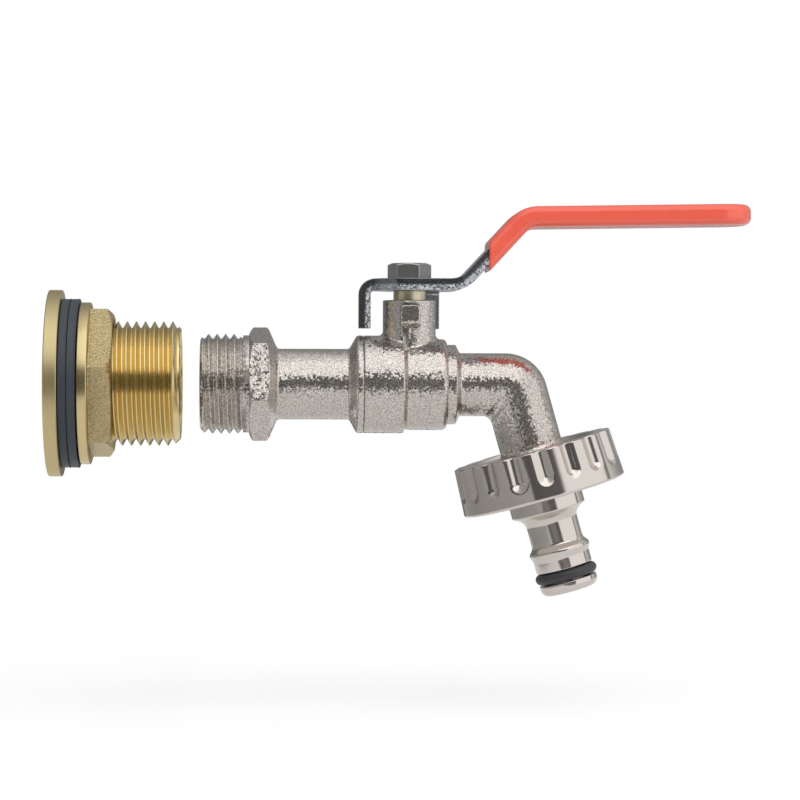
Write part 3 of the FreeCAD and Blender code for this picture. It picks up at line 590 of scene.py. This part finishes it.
def thread(bm, start, end, root, crest, pitch, top, steps=72):
    """Right-hand thread about X between two stations, with a crest at one station on its top side.

    Both ends run down to the root at 45 degrees.
    """
    depth = crest - root
    corners = list(THREAD_FORM) + [(1 - along, rise) for along, rise in reversed(THREAD_FORM)]
    first = top - pitch / 2 - pitch * (math.ceil((top - pitch / 2 - start) / pitch) + 1)
    turns = math.ceil((end - first) / pitch) + 1
    skin = bmesh.new()
    verts = [skin.verts.new((first + pitch * along, 0, root + depth * rise)) for along, rise in corners]
    edges = [skin.edges.new(pair) for pair in zip(verts, verts[1:])]
    bmesh.ops.spin(skin, geom=verts + edges, cent=(0, 0, 0), axis=(1, 0, 0), angle=math.tau,
                   steps=steps, dvec=(pitch / steps, 0, 0))
    turn = skin.verts[:] + skin.edges[:] + skin.faces[:]
    for count in range(1, turns):
        made = bmesh.ops.duplicate(skin, geom=turn)
        copy = [part for part in made["geom"] if isinstance(part, bmesh.types.BMVert)]
        bmesh.ops.translate(skin, verts=copy, vec=(pitch * count, 0, 0))
    bmesh.ops.remove_doubles(skin, verts=skin.verts, dist=0.01)
    cut_away(skin, start, -1)
    cut_away(skin, end, 1)
    for vert in skin.verts:
        radius = math.hypot(vert.co.y, vert.co.z)
        run_in = min(vert.co.x - start, end - vert.co.x) / abs(depth)
        wanted = root + depth * max(min((radius - root) / depth, run_in), 0)
        vert.co.y *= wanted / radius
        vert.co.z *= wanted / radius
    take_in(bm, skin)


def join_rings(bm, station, low, high, reach=0.12):
    """Closes the gap between the two open rings near one station."""
    rims = [e for e in bm.edges if e.is_boundary and all(
        abs(v.co.x - station) < reach and low < math.hypot(v.co.y, v.co.z) < high for v in e.verts)]
    bmesh.ops.bridge_loops(bm, edges=rims)


def close_up(bm):
    """Merges doubles, drops slivers that hang on one edge and turns all faces outwards."""
    bmesh.ops.remove_doubles(bm, verts=bm.verts, dist=0.0005)
    slivers = [f for f in bm.faces if any(e.is_boundary for e in f.edges)
               and any(len(e.link_faces) > 2 for e in f.edges)]
    bmesh.ops.delete(bm, geom=slivers, context="FACES")
    bmesh.ops.recalc_face_normals(bm, faces=bm.faces)


def put_in_scene(name, data):
    """New object around a mesh, lamp or camera."""
    made = bpy.data.objects.new(name, data)
    bpy.context.scene.collection.objects.link(made)
    return made


def finish_piece(bm, name, body, material, nodes, place=Matrix(), smooth=40):
    """Object from a mesh drawn in millimetres: in its place, smoothed, on its body, in its finish."""
    bmesh.ops.transform(bm, matrix=Matrix.Diagonal((MM, MM, MM, 1)) @ place, verts=bm.verts)
    for face in bm.faces:
        face.smooth = True
    mesh = mesh_from(bm, name)
    mesh.set_sharp_from_angle(angle=math.radians(smooth))
    mesh.materials.append(material)
    piece = put_in_scene(name, mesh)
    shading = piece.modifiers.new("even_shading", "WEIGHTED_NORMAL")
    shading.keep_sharp = True
    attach(piece, body)
    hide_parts(*nodes)
    return piece


def paint_node(node, material):
    """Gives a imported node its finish."""
    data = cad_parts[node].data
    data.materials.clear()
    data.materials.append(material)


class TAP_OT_tank_connector(bpy.types.Operator):
    """Flange and shank of turned brass, threaded inside and out"""

    bl_idname = "tap.tank_connector"
    bl_label = "Tank connector"

    def execute(self, context):
        chosen = sizes()
        root = SHANK_R - chosen.shank_depth / MM
        bore_root = BORE_R + BORE_THREAD_DEPTH
        shank_start = FLANGE_RIGHT + THREAD_INSET
        shank_end = SHANK_END - THREAD_END_INSET
        bore_start = FLANGE_LEFT + THREAD_INSET
        bore_end = SHANK_END - THREAD_INSET
        bm = bmesh.new()
        thread(bm, shank_start, shank_end, root, SHANK_R, chosen.shank_pitch / MM, SHANK_CREST_X)
        thread(bm, bore_start, bore_end, bore_root, BORE_R, chosen.inlet_pitch / MM, SHANK_CREST_X)
        lathe(bm, [
            (shank_start - THREAD_GAP, root),
            (FLANGE_RIGHT, root + THREAD_INSET),
            (FLANGE_RIGHT, FLANGE_R, 0.3),
            (FLANGE_LEFT, FLANGE_R, 0.35),
            (FLANGE_LEFT, bore_root + 0.25, 0.1),
            (bore_start - THREAD_GAP, bore_root),
        ], steps=160)
        lathe(bm, [
            (shank_end + THREAD_GAP, root),
            (SHANK_END, root - THREAD_END_INSET),
            (SHANK_END, bore_root + THREAD_INSET),
            (bore_end + THREAD_GAP, bore_root),
        ])
        for station, radius in ((shank_start - THREAD_GAP / 2, root),
                                (bore_start - THREAD_GAP / 2, bore_root),
                                (shank_end + THREAD_GAP / 2, root),
                                (bore_end + THREAD_GAP / 2, bore_root)):
            join_rings(bm, station, radius - 0.2, radius + 0.2)
        close_up(bm)
        finish_piece(bm, "brass_connector", "connector", turned_brass(),
                     ["tank_connector"])
        return {"FINISHED"}


class TAP_OT_back_nut(bpy.types.Operator):
    """Forged brass nut with a turned washer face"""

    bl_idname = "tap.back_nut"
    bl_label = "Back nut"

    def execute(self, context):
        bm = cad_copy("back_nut")
        merge_flat(bm)
        round_edges(bm, sharp_edges(bm, 3), sizes().cast_edge / MM * 0.7)
        close_up(bm)
        finish_piece(bm, "brass_back_nut", "lock_nut", forged_brass(), ["back_nut"])
        return {"FINISHED"}


class TAP_OT_seals(bpy.types.Operator):
    """Two flat rubber seals with the lips of their mould"""

    bl_idname = "tap.seals"
    bl_label = "Flat seals"

    def execute(self, context):
        rubber = seal_rubber()
        lip = 0.12
        for name, body, node in (("seal_on_flange", "seal_inside_butt", "inner_seal"),
                                 ("seal_on_nut", "seal_outside_butt", "outer_seal")):
            low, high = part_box(node)
            start, end, rim = low.x / MM, high.x / MM, high.z / MM
            bm = bmesh.new()
            lathe(bm, [
                (start, SEAL_HOLE_R, 0.1),
                (start, rim - lip, 0.25),
                (end - 0.25, rim - lip, 0.15),
                (end - lip, rim, 0.06),
                (end, rim - 0.1, 0.06),
                (end, SEAL_HOLE_R, 0.1),
            ], closed=True, steps=128)
            close_up(bm)
            finish_piece(bm, name, body, rubber, [node])
        return {"FINISHED"}


class TAP_OT_inlet_end(bpy.types.Operator):
    """Threaded inlet with its hexagon and neck, nickel over brass"""

    bl_idname = "tap.inlet_end"
    bl_label = "Inlet end"

    def execute(self, context):
        chosen = sizes()
        root = TAP_THREAD_R - chosen.inlet_depth / MM
        bm = cad_copy("inlet_end")
        cut_away(bm, RELIEF_X + 0.03, -1)
        merge_flat(bm)
        hexagon = [
            edge for edge in sharp_edges(bm)
            if edge.is_convex and min(vert.co.x for vert in edge.verts) < HEXAGON_END
            and max(math.hypot(vert.co.y, vert.co.z) for vert in edge.verts) > TAP_THREAD_R]
        round_edges(bm, hexagon, chosen.cast_edge / MM * 0.4)
        round_rims(bm, [BODY_JOINT], chosen.cast_edge / MM * 0.7)
        start = TAP_X + THREAD_END_INSET
        thread(bm, start, RELIEF_X - 0.05, root, TAP_THREAD_R, chosen.inlet_pitch / MM, TAP_CREST_X)
        lathe(bm, [
            (start - THREAD_GAP, root),
            (TAP_X, root - 0.2),
            (TAP_X, MOUTH_R + 0.3, 0.15),
            (TAP_X + 0.3, MOUTH_R),
            (RELIEF_X, MOUTH_R),
        ])
        join_rings(bm, start - THREAD_GAP / 2, root - 0.2, root + 0.2)
        join_rings(bm, RELIEF_X, root - 0.2, TAP_THREAD_R)
        join_rings(bm, RELIEF_X, MOUTH_R - 0.1, MOUTH_R + 0.1)
        close_up(bm)
        # Corners that only split an edge would leave flaps without thickness
        bmesh.ops.dissolve_verts(bm, verts=[vert for vert in bm.verts if len(vert.link_edges) == 2])
        finish_piece(bm, "nickel_inlet_end", "tap_body", shared(cast_nickel),
                     ["inlet_end"])
        return {"FINISHED"}


def fill_corner(bm, steps=32, half_turn=86):
    """Rounds the inner corner of the bend: an arc carried along the line where its two legs meet.

    The half turn, in degrees, stops short of the sides, where the legs meet without a corner. The
    outline's last point is sunk into the casting.
    """
    slant = math.tan(math.radians(90 - SPOUT_TILT) / 2)
    reach = CORNER_FILL_R * slant
    corner = Vector((CORNER_X - SPOUT_R * slant, 0, -SPOUT_R))
    down = DOWN_SPOUT.to_3x3() @ Vector((reach, 0, 0))
    sunk = Vector((0.5, 0, 0.5))
    fill = bmesh.new()
    spots = (corner - Vector((reach, 0, 0)), corner, corner + down, corner + sunk)
    verts = [fill.verts.new(spot) for spot in spots]
    fill.faces.new(verts)
    # Just short of the full reach, so that no two points of the outline fall together
    round_corner(fill, verts[1], reach * 0.98, 10)
    ring = fill.edges[:]
    at = Vector()
    for step in range(steps + 1):
        angle = math.radians(half_turn * (2 * step / steps - 1))
        raised = SPOUT_R * (1 - math.cos(angle))
        spot = Vector((raised * slant, SPOUT_R * math.sin(angle), raised))
        if step:
            made = bmesh.ops.extrude_edge_only(fill, edges=ring)
            ring = [part for part in made["geom"] if isinstance(part, bmesh.types.BMEdge)]
        moved = {vert for edge in ring for vert in edge.verts}
        bmesh.ops.translate(fill, vec=spot - at, verts=list(moved))
        at = spot
    bmesh.ops.holes_fill(fill, edges=ring)
    take_in(bm, fill)


class TAP_OT_valve_body(bpy.types.Operator):
    """Cast body with its stem boss and bent spout, nickel over brass"""

    bl_idname = "tap.valve_body"
    bl_label = "Valve body"

    def execute(self, context):
        width = sizes().cast_edge / MM
        bm = cad_copy("valve_body")
        merge_flat(bm)
        round_rims(bm, [BODY_JOINT], width * 0.7)
        pad = widest(face for face in bm.faces
                     if face.normal.y < -SQUARE_ON and face.calc_center_median().z > PAD_BOTTOM)
        round_edges(bm, list(pad.edges), width)
        fill_corner(bm)
        close_up(bm)
        finish_piece(bm, "nickel_valve_body", "tap_body", shared(cast_nickel),
                     ["valve_body"])
        return {"FINISHED"}


class TAP_OT_inner_pieces(bpy.types.Operator):
    """Ball, seats, washers and rings inside the tap"""

    bl_idname = "tap.inner_pieces"
    bl_label = "Inner pieces"

    def execute(self, context):
        plastic = white_plastic()
        rubber = ring_rubber()
        for node in ("inlet_seat", "outlet_seat", "inlet_joint_seal", "stem_thrust_washer"):
            paint_node(node, plastic)
        for node in ("stem_o_ring_lower", "stem_o_ring_upper", "tail_flat_washer"):
            paint_node(node, rubber)
        paint_node("ball", ball_chrome())
        return {"FINISHED"}


class TAP_OT_stem(bpy.types.Operator):
    """Turned brass stem"""

    bl_idname = "tap.stem"
    bl_label = "Stem"

    def execute(self, context):
        bm = cad_copy("stem")
        merge_flat(bm)
        round_edges(bm, sharp_edges(bm), sizes().machined_edge / MM)
        close_up(bm)
        finish_piece(bm, "brass_stem", "lever_and_ball", stem_brass(), ["stem"])
        return {"FINISHED"}


def skin_from(face, most=35):
    """Faces that run on from one face over edges that turn by less than some degrees."""
    skin, ahead = {face}, [face]
    while ahead:
        for edge in ahead.pop().edges:
            if edge.is_manifold and edge.calc_face_angle() < math.radians(most):
                fresh = [near for near in edge.link_faces if near not in skin]
                skin.update(fresh)
                ahead.extend(fresh)
    return skin


def mark_blanked_edge(bm):
    """Writes how far down the plate's cut edge each corner lies: 0 at the top, 1 at the underside.

    The plate's own faces get -1.
    """
    layer = bm.loops.layers.float.new("blanked_edge")
    upper = skin_from(widest(face for face in bm.faces if face.normal.z > SQUARE_ON))
    lower = skin_from(widest(face for face in bm.faces if face.normal.z < -SQUARE_ON))
    underside = {vert for face in lower for vert in face.verts}
    for face in bm.faces:
        plate = face in upper or face in lower
        for loop in face.loops:
            loop[layer] = -1.0 if plate else 1.0 if loop.vert in underside else 0.0


class TAP_OT_lever(bpy.types.Operator):
    """Bent steel plate with its two stop tabs"""

    bl_idname = "tap.lever"
    bl_label = "Lever"

    def execute(self, context):
        bm = cad_copy("lever")
        mark_blanked_edge(bm)
        merge_flat(bm)
        round_edges(bm, sharp_edges(bm, 0.3), sizes().machined_edge / MM)
        close_up(bm)
        finish_piece(bm, "zinc_lever", "lever_and_ball", zinc_plate(), ["lever"])
        return {"FINISHED"}


class TAP_OT_grip(bpy.types.Operator):
    """Dipped red coat on the lever"""

    bl_idname = "tap.grip"
    bl_label = "Grip"

    def execute(self, context):
        bm = cad_copy("lever_grip")
        merge_flat(bm)
        mouth = [edge for edge in sharp_edges(bm)
                 if all(abs(vert.co.x - GRIP_START) < 0.05 for vert in edge.verts)]
        spots = [vert.co for edge in mouth for vert in edge.verts]
        middle = sum(spots, Vector()) / len(spots)
        outline = []
        for edge in mouth:
            side = next(face for face in edge.link_faces if face.normal.x > -SQUARE_ON)
            if side.normal.dot((edge.verts[0].co + edge.verts[1].co) / 2 - middle) > 0:
                outline.append(edge)
        round_edges(bm, outline, sizes().coat_edge / MM, segments=3)
        close_up(bm)
        finish_piece(bm, "vinyl_grip", "lever_and_ball", dipped_vinyl(), ["lever_grip"])
        return {"FINISHED"}


class TAP_OT_screw(bpy.types.Operator):
    """Hexagon screw that holds the lever"""

    bl_idname = "tap.screw"
    bl_label = "Lever screw"

    def execute(self, context):
        bm = cad_copy("lever_screw")
        merge_flat(bm)
        round_edges(bm, sharp_edges(bm), sizes().machined_edge / MM)
        close_up(bm)
        finish_piece(bm, "steel_screw", "lever_and_ball", screw_steel(), ["lever_screw"])
        return {"FINISHED"}


def press_flutes(bm, depth, width):
    """Presses round-ended flutes into the nut's wall."""
    half = width / 2
    ball_x = FLUTE_END - half
    for vert in bm.verts:
        radius = math.hypot(vert.co.y, vert.co.z)
        if radius < UNION_TOP_R - 0.6:
            continue
        turn = (math.atan2(vert.co.z, -vert.co.y) - FLUTE_TURN) * FLUTES / math.tau
        across = (turn - round(turn)) * math.tau / FLUTES * radius
        away = math.hypot(across, max(0, vert.co.x - ball_x))
        if away < half:
            pressed = radius - depth * (1 + math.cos(math.pi * away / half)) / 2
            vert.co.y *= pressed / radius
            vert.co.z *= pressed / radius


class TAP_OT_union_nut(bpy.types.Operator):
    """Fluted union nut, polished nickel"""

    bl_idname = "tap.union_nut"
    bl_label = "Union nut"

    def execute(self, context):
        chosen = sizes()
        bm = bmesh.new()
        wall = [UNION_START + (UNION_END - UNION_START) * step / 40 for step in range(2, 38)]
        lean = (UNION_BOTTOM_R - UNION_TOP_R) / (UNION_END - UNION_START)
        lathe(bm, [
            (UNION_START, UNION_MOUTH_R, 0.15),
            (UNION_START, UNION_TOP_R, 0.35),
            *[(station, UNION_TOP_R + (station - UNION_START) * lean) for station in wall],
            (UNION_END, UNION_BOTTOM_R, 0.8),
            (UNION_END, UNION_HOLE_R, 0.15),
            (UNION_FLOOR, UNION_HOLE_R, 0.15),
            (UNION_FLOOR, UNION_BORE_R),
            (UNION_START + UNION_MOUTH_R - UNION_BORE_R, UNION_BORE_R),
        ], closed=True, steps=360)
        press_flutes(bm, chosen.flute_depth / MM, chosen.flute_width / MM)
        close_up(bm)
        finish_piece(bm, "nickel_union_nut", "union_ring", shared(polished_nickel),
                     ["union_nut"], place=DOWN_SPOUT)
        return {"FINISHED"}


class TAP_OT_hose_tail(bpy.types.Operator):
    """Turned hose tail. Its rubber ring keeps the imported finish"""

    bl_idname = "tap.hose_tail"
    bl_label = "Hose tail"

    def execute(self, context):
        bm = bmesh.new()
        lathe(bm, [
            (TAIL_FLANGE_START, TAIL_BORE_R, 0.2),
            (TAIL_FLANGE_START, TAIL_FLANGE_R, 0.2),
            (TAIL_FLANGE_END, TAIL_FLANGE_R, 0.2),
            (TAIL_FLANGE_END, TAIL_HEAD_R),
            (UNION_END + 4.05, TAIL_HEAD_R, 0.35),
            (UNION_END + 4.65, 8.7, 0.35),
            (UNION_END + 6.2, TAIL_NECK_R, 1.1),
            (UNION_END + 13.0, TAIL_NECK_R, 0.6),
            (UNION_END + 14.4, TAIL_BEAD_R, 0.4),
            (UNION_END + 15.2, TAIL_BEAD_R, 0.35),
            (UNION_END + 16.6, TAIL_BARREL_R, 0.5),
            (UNION_END + 19.8, TAIL_BARREL_R, 0.25),
            (UNION_END + 19.8, TAIL_GROOVE_R, 0.1),
            (UNION_END + 23.2, TAIL_GROOVE_R, 0.1),
            (UNION_END + 23.2, TAIL_END_R, 0.25),
            (UNION_END + 24.8, TAIL_END_R, 0.55),
            (UNION_END + 26.1, TAIL_END_R - 1.0, 0.55),
            (UNION_END + 26.1, TAIL_BORE_R, 0.3),
        ], closed=True, steps=128)
        close_up(bm)
        finish_piece(bm, "nickel_hose_tail", "hose_tail_set",
                     shared(polished_nickel), ["hose_tail"], place=DOWN_SPOUT)
        return {"FINISHED"}


def lay_floor(lowest):
    """Paper floor with a glow that only the camera and the mirroring metals see."""
    bm = bmesh.new()
    bmesh.ops.create_grid(bm, x_segments=2, y_segments=2, size=1.0)
    bmesh.ops.scale(bm, vec=(FLOOR_HALF_WIDTH, (FLOOR_BEHIND + FLOOR_AHEAD) / 2, 1.0), verts=bm.verts)
    bmesh.ops.translate(bm, vec=(FLOOR_X, (FLOOR_BEHIND - FLOOR_AHEAD) / 2, lowest - FLOOR_DROP),
                        verts=bm.verts)
    mesh = mesh_from(bm, "floor")
    floor = put_in_scene("floor", mesh)
    material, tree, shader = new_finish("matt_paper", colours().floor, roughness=1.0)
    rays = add(tree, "LightPath")
    seen = add(tree, "Math", {"operation": "MULTIPLY_ADD", 1: 0.55},
               {0: rays.outputs["Is Glossy Ray"], 2: rays.outputs["Is Camera Ray"]})
    glow = add(tree, "Math", {"operation": "MULTIPLY", 1: 0.5}, {0: seen.outputs[0]})
    shader.inputs["Emission Color"].default_value = (*colours().backdrop, 1)
    tree.links.new(glow.outputs[0], shader.inputs["Emission Strength"])
    mesh.materials.append(material)
    floor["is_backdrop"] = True


def field(tree, angle, middle, half, blur):
    """1 where an angle lies within some degrees of a middle, 0 outside, with a soft edge."""
    away = add(tree, "Math", {"operation": "SUBTRACT", 1: math.radians(middle)},
               {0: angle.outputs[0]})
    size = add(tree, "Math", {"operation": "ABSOLUTE"}, {0: away.outputs[0]})
    mask = add(tree, "MapRange", {
        "interpolation_type": "SMOOTHSTEP", "From Min": math.radians(half + blur),
        "From Max": math.radians(half - blur)}, {"Value": size.outputs[0]})
    return mask.outputs[0]


def hang_room():
    """Soft room that the metals mirror: dimmer to the left and behind, with a dark window and post.

    The camera sees plain backdrop.
    """
    world = bpy.data.worlds.new("soft_room")
    bpy.context.scene.world = world
    world.use_nodes = True
    tree = world.node_tree
    tree.nodes.clear()
    direction = add(tree, "TexCoord").outputs["Generated"]
    apart = add(tree, "SeparateXYZ", links={"Vector": direction})
    ahead = add(tree, "Math", {"operation": "MULTIPLY", 1: -1.0}, {0: apart.outputs["Y"]})
    sideways = add(tree, "Math", {"operation": "ARCTAN2"},
                   {0: apart.outputs["X"], 1: ahead.outputs[0]})
    upwards = add(tree, "Math", {"operation": "ARCSINE"}, {0: apart.outputs["Z"]})
    across = field(tree, sideways, *WINDOW_ACROSS)
    up = field(tree, upwards, *WINDOW_UP)
    beside = field(tree, sideways, *POST_ACROSS)
    window = add(tree, "Math", {"operation": "MULTIPLY"}, {0: across, 1: up})
    post = add(tree, "Math", {"operation": "MULTIPLY", 1: 0.8}, {0: beside})
    dark = add(tree, "Math", {"operation": "MAXIMUM"}, {0: window.outputs[0], 1: post.outputs[0]})
    left = add(tree, "MapRange", {
        "interpolation_type": "SMOOTHSTEP", "From Min": -0.9, "From Max": 0.1,
        "To Min": 0.36, "To Max": 1.0}, {"Value": apart.outputs["X"]})
    behind = add(tree, "MapRange", {
        "interpolation_type": "SMOOTHSTEP", "From Min": -0.1, "From Max": 0.9,
        "To Min": 1.0, "To Max": 0.3}, {"Value": apart.outputs["Y"]})
    room = add(tree, "Math", {"operation": "MULTIPLY"}, {0: left.outputs[0], 1: behind.outputs[0]})
    open_side = add(tree, "MapRange", {"To Min": 1.0, "To Max": 0.13}, {"Value": dark.outputs[0]})
    lit = add(tree, "Math", {"operation": "MULTIPLY"},
              {0: room.outputs[0], 1: open_side.outputs[0]})
    rays = add(tree, "LightPath")
    level = add(tree, "Mix", {"B": 1.0},
                {"Factor": rays.outputs["Is Camera Ray"], "A": lit.outputs[0]})
    background = add(tree, "Background", {"Color": (*colours().backdrop, 1)},
                     {"Strength": level.outputs[0]})
    add(tree, "OutputWorld", links={"Surface": background.outputs[0]})


def light_up(name, energy, spread, tilt, turn=0):
    """Broad lamp from afar. Spread, tilt and turn are in degrees."""
    lamp = bpy.data.lights.new(name, "SUN")
    lamp.energy = energy
    lamp.angle = math.radians(spread)
    light = put_in_scene(name, lamp)
    light.rotation_euler = (math.radians(tilt), 0, math.radians(turn))
    return light


def stand_cards(lowest):
    """Grey cards that only reflections see."""
    for name, (spot, turn, size, shade) in CARDS.items():
        bm = bmesh.new()
        bmesh.ops.create_grid(bm, x_segments=1, y_segments=1, size=1.0)
        bmesh.ops.scale(bm, vec=(*size, 1.0), verts=bm.verts)
        mesh = mesh_from(bm, name)
        mesh.materials.append(new_finish(name, (shade, shade, shade), roughness=1.0)[0])
        card = put_in_scene(name, mesh)
        card.location = (spot[0], spot[1], lowest + spot[2])
        card.rotation_euler = [math.radians(angle) for angle in turn]
        card.visible_camera = card.visible_diffuse = card.visible_shadow = False
        card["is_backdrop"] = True


def set_camera():
    """The photograph's camera: place, aim and roll fitted to the outlines in the photo."""
    lens = bpy.data.cameras.new("camera")
    camera = put_in_scene("camera", lens)
    camera.location = CAMERA_PLACE
    camera.rotation_euler = (Vector(CAMERA_AIM) - camera.location).to_track_quat("-Z", "Y").to_euler()
    camera.rotation_euler.rotate_axis("Z", math.radians(CAMERA_ROLL))
    lens.sensor_width = 36.0
    lens.lens = CAMERA_LENS
    lens.clip_start = 0.01
    bpy.context.scene.camera = camera


class TAP_OT_stage(bpy.types.Operator):
    """Pale floor, soft light and the photograph's camera"""

    bl_idname = "tap.stage"
    bl_label = "Stage"

    def execute(self, context):
        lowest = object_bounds()[0].z
        lay_floor(lowest)
        hang_room()
        light_up("softbox", 0.3, 60, 35, 10)
        fill = light_up("fill", 0.7, 120, 75)
        fill.visible_glossy = False
        stand_cards(lowest)
        set_camera()
        context.scene.view_settings.view_transform = "Standard"
        return {"FINISHED"}


class TAP_PT_panel(bpy.types.Panel):
    """Pieces of the tap, in the order in which they are built"""

    bl_idname = "TAP_PT_panel"
    bl_label = "Water butt tap"
    bl_space_type = "VIEW_3D"
    bl_region_type = "UI"
    bl_category = "Tap"

    def draw(self, context):
        for group in (context.scene.tap_sizes, context.scene.tap_colours):
            column = self.layout.column()
            for name in group.__annotations__:
                column.prop(group, name)
        column = self.layout.column()
        for operator in PIECES:
            column.operator(operator.bl_idname)


PIECES = (
    TAP_OT_tank_connector,
    TAP_OT_back_nut,
    TAP_OT_seals,
    TAP_OT_valve_body,
    TAP_OT_inlet_end,
    TAP_OT_inner_pieces,
    TAP_OT_stem,
    TAP_OT_lever,
    TAP_OT_grip,
    TAP_OT_screw,
    TAP_OT_union_nut,
    TAP_OT_hose_tail,
    TAP_OT_stage,
)
CLASSES = (TapSizes, TapColours) + PIECES + (TAP_PT_panel,)


def register():
    for cls in CLASSES:
        bpy.utils.register_class(cls)
    bpy.types.Scene.tap_sizes = bpy.props.PointerProperty(type=TapSizes)
    bpy.types.Scene.tap_colours = bpy.props.PointerProperty(type=TapColours)


def unregister():
    del bpy.types.Scene.tap_colours
    del bpy.types.Scene.tap_sizes
    for cls in reversed(CLASSES):
        bpy.utils.unregister_class(cls)


def main():
    """Builds every piece and the stage."""
    register()
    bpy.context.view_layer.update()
    bpy.ops.tap.tank_connector()
    bpy.ops.tap.back_nut()
    bpy.ops.tap.seals()
    bpy.ops.tap.valve_body()
    bpy.ops.tap.inlet_end()
    bpy.ops.tap.inner_pieces()
    bpy.ops.tap.stem()
    bpy.ops.tap.lever()
    bpy.ops.tap.grip()
    bpy.ops.tap.screw()
    bpy.ops.tap.union_nut()
    bpy.ops.tap.hose_tail()
    bpy.ops.tap.stage()


if __name__ == "__main__":
    main()
